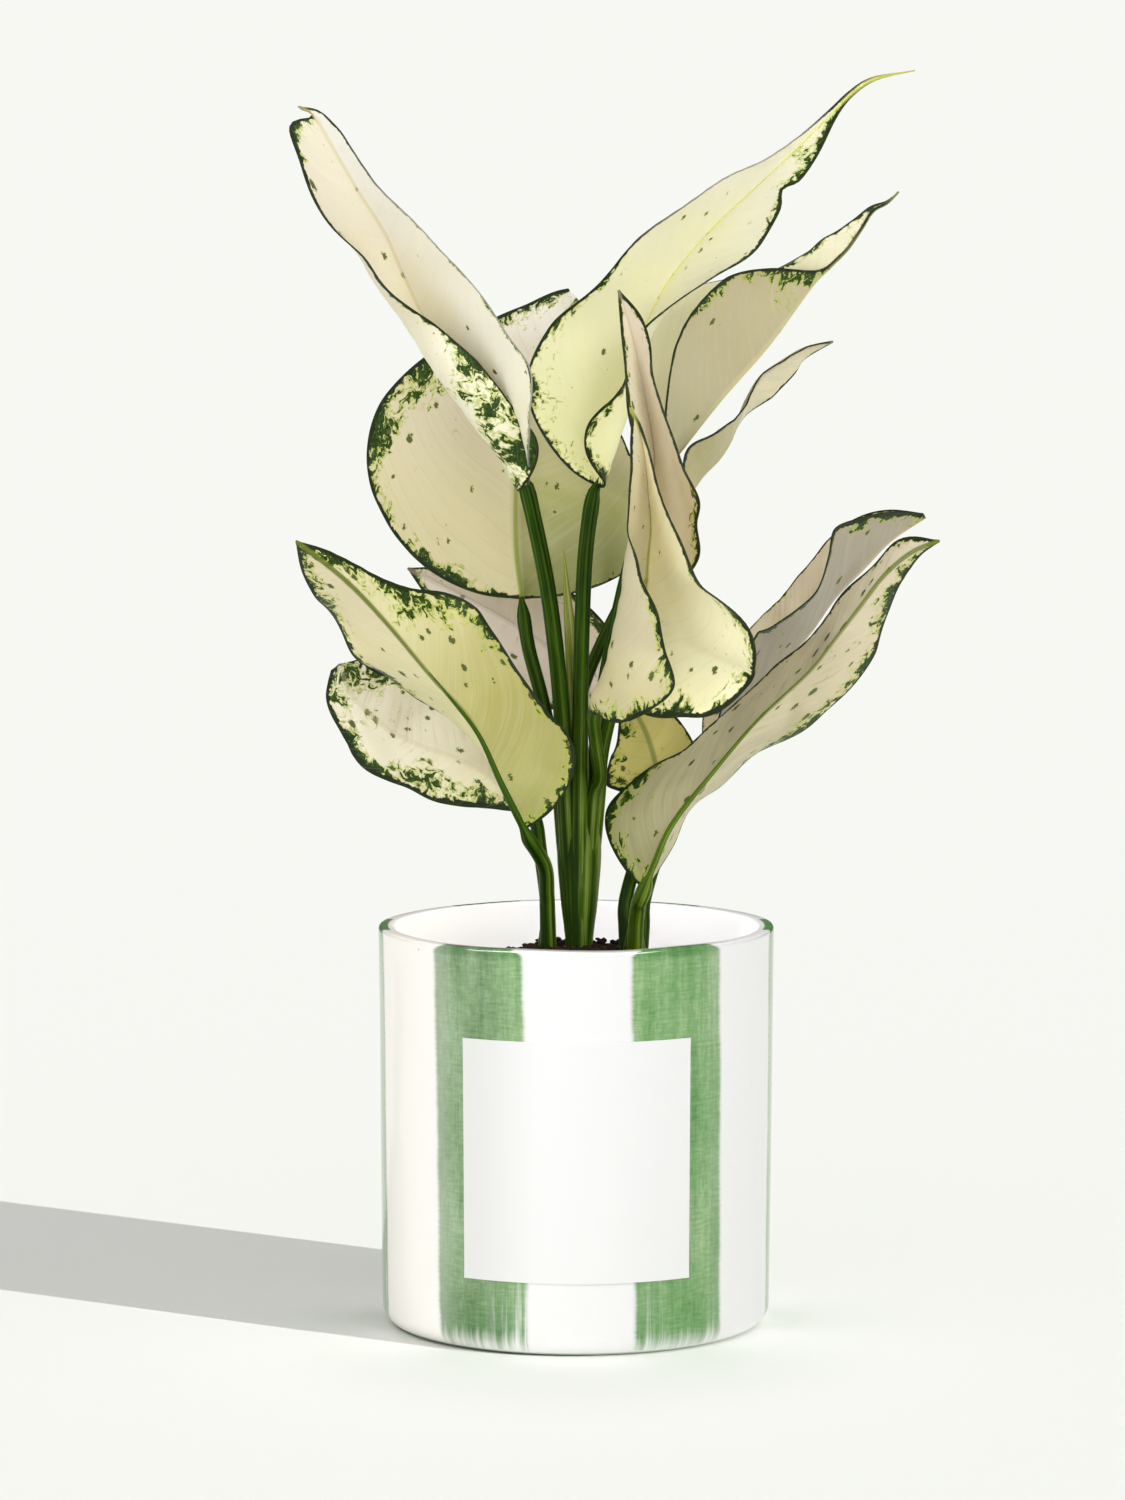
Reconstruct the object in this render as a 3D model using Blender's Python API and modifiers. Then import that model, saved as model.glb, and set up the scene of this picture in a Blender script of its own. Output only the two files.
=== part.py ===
# Potted aglaonema: a broad leaved foliage plant in a plain cylindrical ceramic cover pot.
# Every dimension below is in millimetres. The pot's axis is Z, its front is -Y.
import math
import bpy
import bmesh
from mathutils import Vector

MM = 0.001

POT_HEIGHT = 139.0
POT_RADIUS = 67.4
POT_FLARE = 1.2
POT_WALL = 5.5
POT_FLOOR = 8.0
POT_RIM_ROUND = 2.6
POT_BOTTOM_ROUND = 6.5
POT_CORNER = 4.0

LABEL_ANGLE = 67.0
LABEL_BOTTOM = 25.8
LABEL_TOP = 108.2
LABEL_THICK = 0.5

HOLDER_TOP = 116.0
HOLDER_TOP_RADIUS = 57.0
HOLDER_BOTTOM_RADIUS = 44.0
HOLDER_WALL = 1.4
HOLDER_FLOOR = 1.5
HOLDER_BAND = 10.0
HOLDER_STEP = 1.6
HOLDER_DRAFT = 0.4
HOLDER_LIP = 2.6
DRAIN_COUNT = 5
DRAIN_RADIUS = 3.2
DRAIN_RING = 26.0

SOIL_EDGE = 110.0
SOIL_CROWN = 133.0
SEAT_DEPTH = 112.0
SOCKET_PLAY = 0.5
SOCKET_TOP = 145.0
CENTER_SHOOT = (1.0, 0.0)
CENTER_RADIUS = 6.0

GAP = 0.3
LEAF_THICK = 0.8
NARROWEST_BASE = 1.3
NARROWEST_TIP = 0.35
STALK_START = 184.3
STALK_LEAD = 5.0

POT_WHITE = (0.88, 0.87, 0.84)
PAPER = (0.92, 0.92, 0.91)
BLACK = (0.02, 0.02, 0.02)
EARTH = (0.020, 0.012, 0.008)
CREAM = (0.80, 0.76, 0.60)
YELLOW = (0.78, 0.77, 0.45)
OLIVE = (0.50, 0.50, 0.25)
STEM = (0.06, 0.14, 0.02)
NEW_GROWTH = (0.45, 0.50, 0.15)

# ---------------------------------------------------------------- helpers


def mix(a, b, f):
    return a + (b - a) * f


def through(points, t):
    """Smooth curve through evenly spaced values or points."""
    last = len(points) - 1
    if last == 0:
        return points[0]
    x = min(max(t, 0.0), 1.0) * last
    i = min(int(x), last - 1)
    f = x - i
    p1, p2 = points[i], points[i + 1]
    p0 = points[i - 1] if i > 0 else p1 * 2 - p2
    p3 = points[i + 2] if i + 2 <= last else p2 * 2 - p1
    return (p1 * 2 + (p2 - p0) * f + (p0 * 2 - p1 * 5 + p2 * 4 - p3) * f ** 2
            + (p1 * 3 - p0 - p2 * 3 + p3) * f ** 3) * 0.5


def evenly(points, count):
    """Points at equal distances along the smooth curve through points."""
    points = [Vector(p) for p in points]
    dense = [through(points, k / 300) for k in range(301)]
    run = [0.0]
    for a, b in zip(dense, dense[1:]):
        run.append(run[-1] + (b - a).length)
    found, k = [], 0
    for n in range(count):
        want = run[-1] * n / (count - 1)
        while k < 299 and run[k + 1] < want:
            k += 1
        f = (want - run[k]) / max(run[k + 1] - run[k], 1e-9)
        found.append(dense[k].lerp(dense[k + 1], f))
    return found


def directions(points):
    found = []
    for k in range(len(points)):
        a, b = points[max(k - 1, 0)], points[min(k + 1, len(points) - 1)]
        found.append((b - a).normalized())
    return found


def principled(name, colour, roughness, metallic=0.0):
    made = bpy.data.materials.new(name)
    made.use_nodes = True
    shader = made.node_tree.nodes["Principled BSDF"]
    shader.inputs["Base Color"].default_value = (*colour, 1.0)
    shader.inputs["Roughness"].default_value = roughness
    shader.inputs["Metallic"].default_value = metallic
    made.diffuse_color = (*colour, 1.0)
    return made


def add_part(name, data, colour, roughness):
    obj = bpy.data.objects.new(name, data)
    data.materials.append(principled(name + "_material", colour, roughness))
    parts.objects.link(obj)
    return obj


def surface(name, verts, faces, colour, roughness):
    """A mesh part from points in millimetres, shaded smooth."""
    mesh = bpy.data.meshes.new(name)
    mesh.from_pydata([Vector(v) * MM for v in verts], [], faces)
    mesh.shade_smooth()
    return add_part(name, mesh, colour, roughness)


def turned(name, profile, steps, colour, roughness, angle=360.0):
    """A (radius, height) profile turned about Z; it runs down the outer side."""
    mesh = bpy.data.meshes.new(name)
    verts = [Vector((radius, 0.0, height)) * MM for radius, height in profile]
    mesh.from_pydata(verts, [(k, k + 1) for k in range(len(verts) - 1)], [])
    obj = add_part(name, mesh, colour, roughness)
    screw = obj.modifiers.new("turn", "SCREW")
    screw.axis = "Z"
    screw.angle = math.radians(angle)
    screw.steps = steps
    screw.render_steps = steps
    screw.use_merge_vertices = angle == 360.0
    screw.merge_threshold = 0.00001
    screw.use_smooth_shade = True
    return obj


def arc(centre, radius, first, last, steps):
    """Arc of (radius, height) profile points, angles in degrees."""
    found = []
    for k in range(steps + 1):
        a = math.radians(mix(first, last, k / steps))
        found.append((centre[0] + radius * math.cos(a), centre[1] + radius * math.sin(a)))
    return found


def tapered_oval(name, x, y, bottom, top, low, high, sides):
    """Mesh of an upright oval cone; bottom and top are (half width x, half width y)."""
    mesh = bpy.data.meshes.new(name)
    work = bmesh.new()
    bmesh.ops.create_cone(work, cap_ends=True, segments=sides, radius1=1.0, radius2=1.0, depth=2.0)
    for v in work.verts:
        rx, ry = bottom if v.co.z < 0 else top
        height = low if v.co.z < 0 else high
        v.co = Vector((x + v.co.x * rx, y + v.co.y * ry, height)) * MM
    work.to_mesh(mesh)
    work.free()
    return mesh


def cut(obj, name, x, y, size, low, high, sides=24):
    """Take an upright oval hole out of a part."""
    tool = bpy.data.objects.new(name, tapered_oval(name, x, y, size, size, low, high, sides))
    tool.hide_render = True
    tool.display_type = "WIRE"
    cutters.objects.link(tool)
    step = obj.modifiers.new(name, "BOOLEAN")
    step.operation = "DIFFERENCE"
    step.solver = "EXACT"
    step.object = tool


def rounding(t, reach):
    s = min(t / reach, 1.0)
    return math.sqrt(max(1.0 - (1.0 - s) ** 2, 0.0))


def blade(name, spine, left, right, colour, across=4, rows=16, reach=0.22):
    """A leaf blade: each half is walked out from the midrib.

    left and right are (half widths, start angles, curls, sweeps) listed from base to tip. An angle
    of 0 keeps the half in the plane facing -Y, a positive one turns it toward -Y; a curl is the
    total turn made on the way to the margin; a sweep, if there is one, leans the half to the tip.
    """
    points = evenly(spine, rows + 1)
    along = directions(points)
    halves = []
    for sign, (widths, angles, curls, *sweeps) in ((-1, left), (1, right)):
        lines = [[p.copy() for p in points]]
        for j in range(across):
            line = []
            for k, point in enumerate(points):
                t = k / rows
                end = rounding(t, reach)
                narrowest = mix(NARROWEST_BASE, NARROWEST_TIP, t)
                width = max(max(through(widths, t), 0.0) * end, narrowest)
                angle = math.radians(through(angles, t) + through(curls, t) * end * (j + 0.5) / across)
                front = Vector((0.0, -1.0, 0.0))
                front = (front - along[k] * front.dot(along[k])).normalized()
                sweep = math.radians(through(sweeps[0], t)) if sweeps else 0.0
                side = along[k].cross(front) * sign * math.cos(sweep) + along[k] * math.sin(sweep)
                step = (side * math.cos(angle) + front * math.sin(angle)) * (width / across)
                line.append(lines[-1][k] + step)
            lines.append(line)
        halves.append(lines)
    grid = halves[0][::-1] + halves[1][1:]
    verts = [p for line in grid for p in line]
    faces = []
    for i in range(len(grid) - 1):
        for k in range(rows):
            a = i * (rows + 1) + k
            faces.append((a, a + rows + 1, a + rows + 2, a + 1))
    obj = surface(name, verts, faces, colour, 0.45)
    skin = obj.modifiers.new("thickness", "SOLIDIFY")
    skin.thickness = LEAF_THICK * MM
    skin.offset = 0.0
    leaf_base[name] = (points[0], along[0])
    return obj


def stalk(name, path, radii, colour, leaf=None, count=9, clear=0.1, roundness=2):
    """A petiole or shoot; with a leaf it ends just short of that blade's base."""
    points = [Vector(p) for p in path]
    if leaf:
        base, heading = leaf_base[leaf]
        points.append(base - heading * STALK_LEAD)
        points.append(base - heading * (GAP + clear))
    points = evenly(points, count)
    if leaf:
        points[-2] = points[-1] - heading * (points[-1] - points[-2]).length
    points[1] = points[0] + Vector((0.0, 0.0, (points[1] - points[0]).length))
    curve = bpy.data.curves.new(name, "CURVE")
    curve.dimensions = "3D"
    curve.bevel_depth = MM
    curve.bevel_resolution = roundness
    curve.use_fill_caps = True
    line = curve.splines.new("POLY")
    line.points.add(count - 1)
    for k, point in enumerate(points):
        line.points[k].co = (*(point * MM), 1.0)
        line.points[k].radius = through(radii, k / (count - 1))
    line.use_smooth = True
    return add_part(name, curve, colour, 0.5)


# ---------------------------------------------------------------- clean start

for old in list(bpy.data.objects):
    bpy.data.objects.remove(old, do_unlink=True)
parts = bpy.data.collections.new("potted_aglaonema")
bpy.context.scene.collection.children.link(parts)
cutters = bpy.data.collections.new("cutters")
bpy.context.scene.collection.children.link(cutters)
leaf_base = {}

# ---------------------------------------------------------------- pot and label

# The outer wall widens by POT_FLARE on the way up.
inner = POT_RADIUS - POT_WALL
mouth = inner + POT_FLARE
rim = POT_HEIGHT - POT_RIM_ROUND
pot_profile = [
    (0.0, POT_FLOOR), (inner - POT_CORNER, POT_FLOOR),
    *arc((inner - POT_CORNER, POT_FLOOR + POT_CORNER), POT_CORNER, -60, 0, 2),
    *arc((mouth + POT_RIM_ROUND, rim), POT_RIM_ROUND, 180, 90, 4),
    *arc((mouth + POT_WALL - POT_RIM_ROUND, rim), POT_RIM_ROUND, 90, 0, 4),
    *arc((POT_RADIUS - POT_BOTTOM_ROUND, POT_BOTTOM_ROUND), POT_BOTTOM_ROUND, 0, -90, 4),
    (0.0, 0.0),
]
turned("pot", pot_profile, 64, POT_WHITE, 0.15)

label_line = []
for height in (LABEL_TOP, LABEL_BOTTOM):
    share = (height - POT_BOTTOM_ROUND) / (rim - POT_BOTTOM_ROUND)
    label_line.append((POT_RADIUS + POT_FLARE * share + GAP, height))
label = turned("label", label_line, 16, PAPER, 0.6, LABEL_ANGLE)
label.rotation_euler.z = math.radians(-90 - LABEL_ANGLE / 2)
sheet = label.modifiers.new("thickness", "SOLIDIFY")
sheet.thickness = LABEL_THICK * MM
sheet.offset = 1.0

# ---------------------------------------------------------------- plastic nursery pot

# A tapered side with a straighter band below the lip, a little wider than the taper.
seat = POT_FLOOR + GAP
inside = seat + HOLDER_FLOOR + HOLDER_WALL
rings = [18.0, 34.0]
outer_side = [
    (HOLDER_TOP_RADIUS + HOLDER_LIP, HOLDER_TOP),
    (HOLDER_TOP_RADIUS + HOLDER_LIP, HOLDER_TOP - HOLDER_WALL),
    (HOLDER_TOP_RADIUS + HOLDER_DRAFT, HOLDER_TOP - HOLDER_WALL - HOLDER_DRAFT),
    (HOLDER_TOP_RADIUS, HOLDER_TOP - HOLDER_BAND),
    (HOLDER_TOP_RADIUS - HOLDER_STEP, HOLDER_TOP - HOLDER_BAND - HOLDER_STEP),
    (HOLDER_BOTTOM_RADIUS, seat + HOLDER_FLOOR),
    (HOLDER_BOTTOM_RADIUS - HOLDER_FLOOR, seat),
]
inner_side = [
    (HOLDER_BOTTOM_RADIUS - HOLDER_WALL, inside),
    (HOLDER_TOP_RADIUS - HOLDER_STEP - HOLDER_WALL, HOLDER_TOP - HOLDER_BAND - HOLDER_STEP),
    (HOLDER_TOP_RADIUS - HOLDER_WALL, HOLDER_TOP - HOLDER_BAND),
    (HOLDER_TOP_RADIUS + HOLDER_DRAFT - HOLDER_WALL, HOLDER_TOP),
]
floor_top = [(0.0, inside)] + [(radius, inside) for radius in rings]
floor_bottom = [(radius, seat) for radius in reversed(rings)] + [(0.0, seat)]
holder = turned("nursery_pot", floor_top + inner_side + outer_side + floor_bottom, 48, BLACK, 0.5)
for k in range(DRAIN_COUNT):
    turn = 2 * math.pi * (k + 0.22) / DRAIN_COUNT
    cut(holder, "drain_%d" % k, DRAIN_RING * math.cos(turn), DRAIN_RING * math.sin(turn),
        (DRAIN_RADIUS, DRAIN_RADIUS), seat - 1.0, inside + 1.0, 12)

# ---------------------------------------------------------------- soil

# A mound round the stems that falls to the nursery pot's wall; its points are (radius, fall).
clear = HOLDER_WALL + 2 * GAP
mound = [(12.0, 0.4), (22.0, 2.4), (29.0, 7.0), (38.0, 15.0), (47.0, 20.5)]
soil_profile = [
    (0.0, SOIL_CROWN), *[(radius, SOIL_CROWN - fall) for radius, fall in mound],
    (HOLDER_TOP_RADIUS - 2 * clear, SOIL_EDGE),
    (HOLDER_TOP_RADIUS - HOLDER_STEP - clear, HOLDER_TOP - HOLDER_BAND - HOLDER_STEP - GAP),
    (HOLDER_BOTTOM_RADIUS - clear, inside + GAP), (0.0, inside + GAP),
]
soil = turned("soil", soil_profile, 40, EARTH, 0.95)

# ---------------------------------------------------------------- shoots, each seated in the soil

low = Vector((*CENTER_SHOOT, SEAT_DEPTH))
high = Vector((*CENTER_SHOOT, STALK_START - GAP))
stalk("shoot_center", [low, high], [CENTER_RADIUS, 6.0, 7.6, 9.2, 9.5], STEM, count=6, roundness=4)
cut(soil, "socket_center", *CENTER_SHOOT, (CENTER_RADIUS + SOCKET_PLAY, CENTER_RADIUS + SOCKET_PLAY),
    SEAT_DEPTH - GAP, SOCKET_TOP)
side_shoots = {
    "left": {"place": (-10.0, 0.0), "foot": (2.9, 5.6), "top": (3.1, 6.0), "height": 143.0},
    "right": {"place": (20.0, -4.0), "foot": (5.6, 6.3), "top": (5.8, 6.6), "height": 138.0},
}
for side, size in side_shoots.items():
    x, y = size["place"]
    mesh = tapered_oval("shoot_" + side, x, y, size["foot"], size["top"], SEAT_DEPTH, size["height"], 16)
    mesh.shade_smooth()
    add_part("shoot_" + side, mesh, STEM, 0.5)
    socket = tuple(half + SOCKET_PLAY for half in size["foot"])
    cut(soil, "socket_" + side, x, y, socket, SEAT_DEPTH - GAP, SOCKET_TOP)

# ---------------------------------------------------------------- blades

blade("leaf_upper_left_blade",
      [(-18, -26, 293), (-27, -31, 312), (-39, -36, 330), (-49, -41, 346), (-58, -47, 365),
       (-64, -52, 379), (-72, -58, 392), (-79, -63, 404), (-84, -67, 413), (-87, -69, 418),
       (-92, -71, 421)],
      ([30, 32, 31, 31, 30, 27, 26, 26, 24, 20, 16.5, 13, 0],
       [40, 36, 24, 22, 20, 20, 20, 18, 8, 8, 10, 5, 0],
       [240, 240, 205, 200, 192, 172, 136, 112, 104, 66, 30, 10, 0], [0, 0, 0, 0, 0, 15, 40, 50]),
      ([20, 22, 30, 33, 31, 29.5, 25.5, 20, 12.5, 8, 6.2, 4.8, 0],
       [70, 62, 54, 40, 36, 36, 38, 38, 36, 32, 24, 12, 0], [20, 20, 20, 10, 0, 0, 0, 0]),
      CREAM, across=6, rows=18)
blade("leaf_upper_right_blade",
      [(7, -8, 292), (15, -6, 314), (21, -3, 337), (30, 0, 359), (45, 4, 378), (62, 9, 394),
       (77, 14, 408), (87, 17, 418), (95, 19, 426), (103, 20, 431), (117, 20, 434)],
      ([34, 38, 36.5, 32, 25, 23.5, 20, 15, 8, 3.5, 1.6, 1, 0], [0, 0, 10, 35, 45, 45, 40, 20, 0],
       [10, 10, 10, 10, 10, 10, 0, 0]),
      ([44, 34, 27, 27, 27, 28.5, 25.5, 19.5, 12.5, 8, 2, 0.8, 0],
       [55, 63, 69, 72, 63, 55, 50, 47, 44, 40, 27, 13, 0],
       [220, 140, 60, 48, 41, 26, 10, 2, 0, 0, 0, 0, 0]),
      YELLOW, across=6, rows=18)
blade("leaf_center_blade",
      [(22, -22, 253), (25, -33, 281), (26, -40, 304), (23, -44, 324), (19, -46, 343), (14, -48, 360)],
      ([16, 18, 20, 20, 20, 19, 18, 16.5, 15.5, 12, 7.6, 3.5, 0], [60, 70, 72, 68, 60, 40], [0]),
      ([14, 19, 23, 26, 23, 26, 21, 16.5, 14, 10.5, 8.5, 5.8, 0],
       [60, 61, 57, 50, 48, 54, 65, 68, 69, 68, 54, 40, 30], [0]),
      CREAM)
blade("leaf_right_blade",
      [(34, 20, 300), (50, 24, 320), (67, 29, 339), (82, 34, 359), (89, 36, 366), (95, 38, 372),
       (100, 40, 379), (104, 42, 385), (109, 43, 388), (113, 44, 392)],
      ([28, 32, 34.5, 34.5, 33, 31, 27.5, 18, 3, 1, 1, 1.5, 0], [50, 40, 20, 15, 40, 60, 80],
       [20, 20, 20, 20, 0, 0, 0]),
      ([30, 34, 36, 35, 36, 34.5, 27.5, 16.5, 10, 9, 5.5, 2, 0],
       [-150, -145, -150, -155, -170, -180, -190], [0]),
      CREAM, rows=18)
blade("leaf_right_ribbon_blade",
      [(39, 31, 286), (44, 34, 293), (50, 37, 299), (54, 40, 305), (57, 43, 312), (60, 46, 319),
       (65, 49, 327), (72, 52, 332), (81, 56, 337), (91, 62, 339)],
      ([22, 27, 23, 22, 20, 18, 14, 10, 8, 6, 5, 3, 0],
       [58, 60, 66, 76, 84, 88, 88, 88, 88, 88, 88, 85, 80], [0]),
      ([18, 20, 20, 19, 18, 17, 16, 15, 15.5, 13, 11, 7.5, 0],
       [-92, -92, -92, -90, -89, -87, -78, -62, -55, -55, -55, -58, -60], [0]),
      CREAM)
blade("leaf_broad_back_blade",
      [(-19, 10, 252), (-21, 18, 270), (-21, 28, 290), (-19, 40, 310), (-14, 52, 330), (-6, 63, 346),
       (1, 72, 353)],
      ([36, 40, 45, 48, 51.5, 53, 52, 48, 40.5, 28.5, 19, 10.5, 6], [5, 5, 0, -5, -10, -10, 0], [5]),
      ([66, 60, 56, 53, 52, 51, 48, 42, 34, 24, 14, 6.5, 0], [-20, -20, -22, -25, -20, 0, 0], [5]),
      CREAM, reach=0.3)
blade("leaf_lower_left_front_blade",
      [(-18, -22, 175), (-27, -31, 194.5), (-36, -40, 214), (-49, -50, 230), (-63, -60, 248),
       (-77, -70, 264), (-93, -80, 278)],
      ([22, 26, 29, 30, 30.5, 30.5, 30.5, 29, 26.5, 23, 17, 10.5, 0],
       [-88, -87, -85, -73, -69, -66, -60, -54, -55, -55, -50, -45, -45], [0]),
      ([29, 31, 29, 25, 24, 28, 30.5, 27.5, 18, 12, 8.5, 4.8, 0], [0, -8, -20, -35, -45, -50, -40], [0]),
      YELLOW, rows=18)
blade("leaf_lower_left_back_blade",
      [(-18, 4, 180), (-27, 11, 187), (-35, 17, 192), (-45, 22, 196), (-55, 27, 199), (-65, 33, 203),
       (-73, 39, 209), (-80, 46, 216), (-84, 54, 225)],
      ([8, 9.5, 12, 15.2, 17.3, 18, 16.7, 17.3, 17.5, 15, 12.5, 9.5, 4],
       [-20, -20, -20, -20, -25, -30, -30], [15]),
      ([20, 28, 30, 30, 27, 19, 8], [-30, -30, -30, -30, -30, -20, -20], [0]),
      CREAM)
blade("leaf_back_left_blade",
      [(8, 24, 213), (-3, 32, 227), (-17, 42, 237), (-36, 54, 247), (-60, 68, 258)],
      ([14, 22, 22, 15, 0], [-34, -32, -30, -30, -20], [0]),
      ([14, 27, 28, 18, 0], [-50, -52, -50, -50, -40], [0]),
      CREAM, rows=14)
blade("leaf_lower_right_front_blade",
      [(23.5, -18, 154), (28.6, -19, 167), (35, -20, 180), (43, -22, 190), (51, -24, 200),
       (60, -26, 211), (70, -29, 221), (80, -32, 231), (88, -36, 242), (96, -39, 253), (104, -43, 264),
       (113, -47, 272), (122, -50, 276)],
      ([31, 35, 29.5, 27, 27, 28, 27.5, 26, 22.5, 19, 13.5, 9.5, 0],
       [-40, -42, -52, -66, -72, -75, -76, -77, -77, -74, -72, -60, -55], [0]),
      ([26, 29, 28.5, 30, 30.5, 31, 30.5, 29.5, 26, 19.5, 11.5, 6, 0],
       [-82, -78, -79, -76, -71, -62, -58, -55, -54, -53, -51, -50, -50], [0]),
      CREAM, rows=18)
blade("leaf_lower_right_back_blade",
      [(47, 26, 195), (55, 28, 206), (64, 30, 217), (73, 33, 227), (83, 35, 239), (91, 37, 250),
       (101, 39, 260), (111, 41, 270), (123, 42, 278)],
      ([24, 28, 32, 35, 36, 32, 31.5, 32, 31.5, 28.5, 21, 13, 2],
       [70, 68, 64, 60, 56, 60, 66, 68, 58, 45, 42, 40, 35], [10]),
      ([16, 20, 24, 26, 26, 25.5, 24, 21.5, 20, 21.5, 20, 12, 2],
       [-120, -122, -125, -128, -132, -135, -140], [0]),
      CREAM)
blade("leaf_folded_front_blade",
      [(7, -32, 218), (9, -34, 224), (13, -37, 230), (17, -40, 238), (20, -44, 248), (23, -48, 259),
       (24, -51, 270), (25, -54, 281), (24, -57, 293), (23, -60, 304), (21, -63, 314), (18, -65, 321)],
      ([30, 31, 40, 48, 41, 38, 33.5, 28, 24, 17.5, 10, 5, 0],
       [50, 48, 43, 35, 27, 25, 28, 32, 45, 55, 53, 39, 20],
       [150, 150, 158, 183, 182, 158, 124, 96, 50, 25, 4, 0, 0]),
      ([16, 20, 35, 43, 45, 45, 35, 29, 21, 15, 8, 2.5, 0],
       [0, 5, 9, 12, 20, 32, 50, 62, 70, 73, 75, 70, 50], [0]),
      CREAM, across=6, rows=18, reach=0.18)
blade("leaf_small_low_blade",
      [(29, 12, 183), (28, 19, 192), (25, 28, 202), (21, 35, 210), (18, 40, 217)],
      ([14, 19, 16, 9, 0], [-14], [0]),
      ([12, 15, 14, 9, 0], [-10], [0]),
      OLIVE, rows=12)

# ---------------------------------------------------------------- petioles

z = STALK_START
stalk("leaf_upper_left_petiole",
      [(-3.8, -4.8, z), (-4.4, -6, 200), (-6, -10, 225), (-10, -17, 258)],
      [2.4, 2.9, 3.0, 2.6], STEM, "leaf_upper_left_blade", clear=0.3)
stalk("leaf_upper_right_petiole",
      [(1, -6.8, z), (1.2, -7.4, 210), (1.8, -8.6, 240), (3, -9.2, 268)],
      [2.4, 2.8, 2.8, 2.4], STEM, "leaf_upper_right_blade", clear=0.25)
stalk("leaf_folded_front_petiole",
      [(5.8, -4.8, z), (8, -9.5, 192), (6.5, -20, 205)],
      [2.4, 2.5, 2.3], STEM, "leaf_folded_front_blade", clear=0.4)
stalk("leaf_center_petiole",
      [(7.8, 0, z), (9, -2, 200), (14, -8, 222), (19, -14, 240)],
      [2.4, 2.4, 2.2], STEM, "leaf_center_blade")
stalk("leaf_right_petiole",
      [(5.8, 4.8, z), (7.5, 7, 208), (13, 11, 240), (21, 15, 272)],
      [2.4, 2.5, 2.4, 2.2], STEM, "leaf_right_blade")
stalk("leaf_right_ribbon_petiole",
      [(-3.8, 4.8, z), (-1.5, 8.5, 202), (3, 14, 222), (14, 21, 246), (26, 27, 266)],
      [2.4, 2.4, 2.2, 2.0], STEM, "leaf_right_ribbon_blade")
stalk("leaf_back_left_petiole",
      [(1, 6.8, z), (4, 11, 192), (9, 17, 201)],
      [2.4, 2.4, 2.2], STEM, "leaf_back_left_blade")
stalk("leaf_broad_back_petiole",
      [(-5.8, 0, z), (-7, 0.5, 195), (-12, 2.5, 218), (-16.5, 4.5, 235)],
      [2.4, 2.5, 2.4], STEM, "leaf_broad_back_blade")
stalk("new_leaf", [(1, 0, z), (0.5, 0, 210), (-2, 0, 240), (-4.5, 0, 269)],
      [2.4, 3.0, 2.4, 0.5], NEW_GROWTH)
stalk("leaf_lower_left_front_petiole",
      [(-10, -3, 143.3), (-10.2, -4.5, 150), (-11, -11.5, 161)],
      [2.5, 2.6, 2.2], STEM, "leaf_lower_left_front_blade", 8)
stalk("leaf_lower_left_back_petiole",
      [(-10, 3, 143.3), (-10.8, 3, 152), (-12.6, 2.6, 165), (-13.6, 2.2, 173)],
      [2.5, 2.5, 2.2], STEM, "leaf_lower_left_back_blade")
stalk("leaf_lower_right_front_petiole",
      [(20.5, -8.3, 138.3), (20.8, -9.5, 143), (21.4, -13, 148)],
      [2.5, 2.7, 2.5], STEM, "leaf_lower_right_front_blade", 6)
stalk("leaf_lower_right_back_petiole",
      [(23, -1.2, 138.3), (23.6, 0, 148), (29, 8, 164), (38, 18, 180)],
      [2.5, 2.5, 2.1], STEM, "leaf_lower_right_back_blade")
stalk("leaf_small_low_petiole",
      [(17, -1.2, 138.3), (17.2, 0, 148), (22, 5, 164)],
      [2.5, 2.5, 2.1], STEM, "leaf_small_low_blade", 8)
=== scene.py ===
# A potted aglaonema: cream leaves with green mottled margins, in a striped glazed cover pot.
import math
import bpy
import bmesh
import numpy as np
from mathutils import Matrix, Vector, noise


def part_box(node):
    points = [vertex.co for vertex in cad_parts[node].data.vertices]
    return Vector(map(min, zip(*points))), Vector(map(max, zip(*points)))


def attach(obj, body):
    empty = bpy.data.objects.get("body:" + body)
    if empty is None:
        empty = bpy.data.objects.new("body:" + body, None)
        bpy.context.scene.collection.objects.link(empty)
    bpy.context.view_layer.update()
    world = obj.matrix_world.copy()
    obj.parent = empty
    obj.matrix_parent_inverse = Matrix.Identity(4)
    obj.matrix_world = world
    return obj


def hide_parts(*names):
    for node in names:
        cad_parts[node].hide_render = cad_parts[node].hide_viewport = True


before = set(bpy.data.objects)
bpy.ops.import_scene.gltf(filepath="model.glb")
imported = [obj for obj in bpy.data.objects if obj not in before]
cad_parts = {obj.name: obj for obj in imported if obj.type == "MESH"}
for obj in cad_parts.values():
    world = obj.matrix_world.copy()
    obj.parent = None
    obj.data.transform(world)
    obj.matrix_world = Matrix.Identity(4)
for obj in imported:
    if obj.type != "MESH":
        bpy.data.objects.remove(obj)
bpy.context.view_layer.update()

mm = 0.001
potLow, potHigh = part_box("pot")
labelLow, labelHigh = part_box("label")

# the setting that gives each kind of node its job
jobs = {"Math": "operation", "VectorMath": "operation", "MapRange": "interpolation_type", "Mix": "data_type",
        "Attribute": "attribute_name", "UVMap": "uv_map"}


def linear(hexColour):
    # sRGB hex to the linear colour that a socket takes
    found = []
    for k in (0, 2, 4):
        c = int(hexColour[k:k + 2], 16) / 255
        found.append(c / 12.92 if c <= 0.04045 else ((c + 0.055) / 1.055) ** 2.4)
    return (*found, 1.0)


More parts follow.
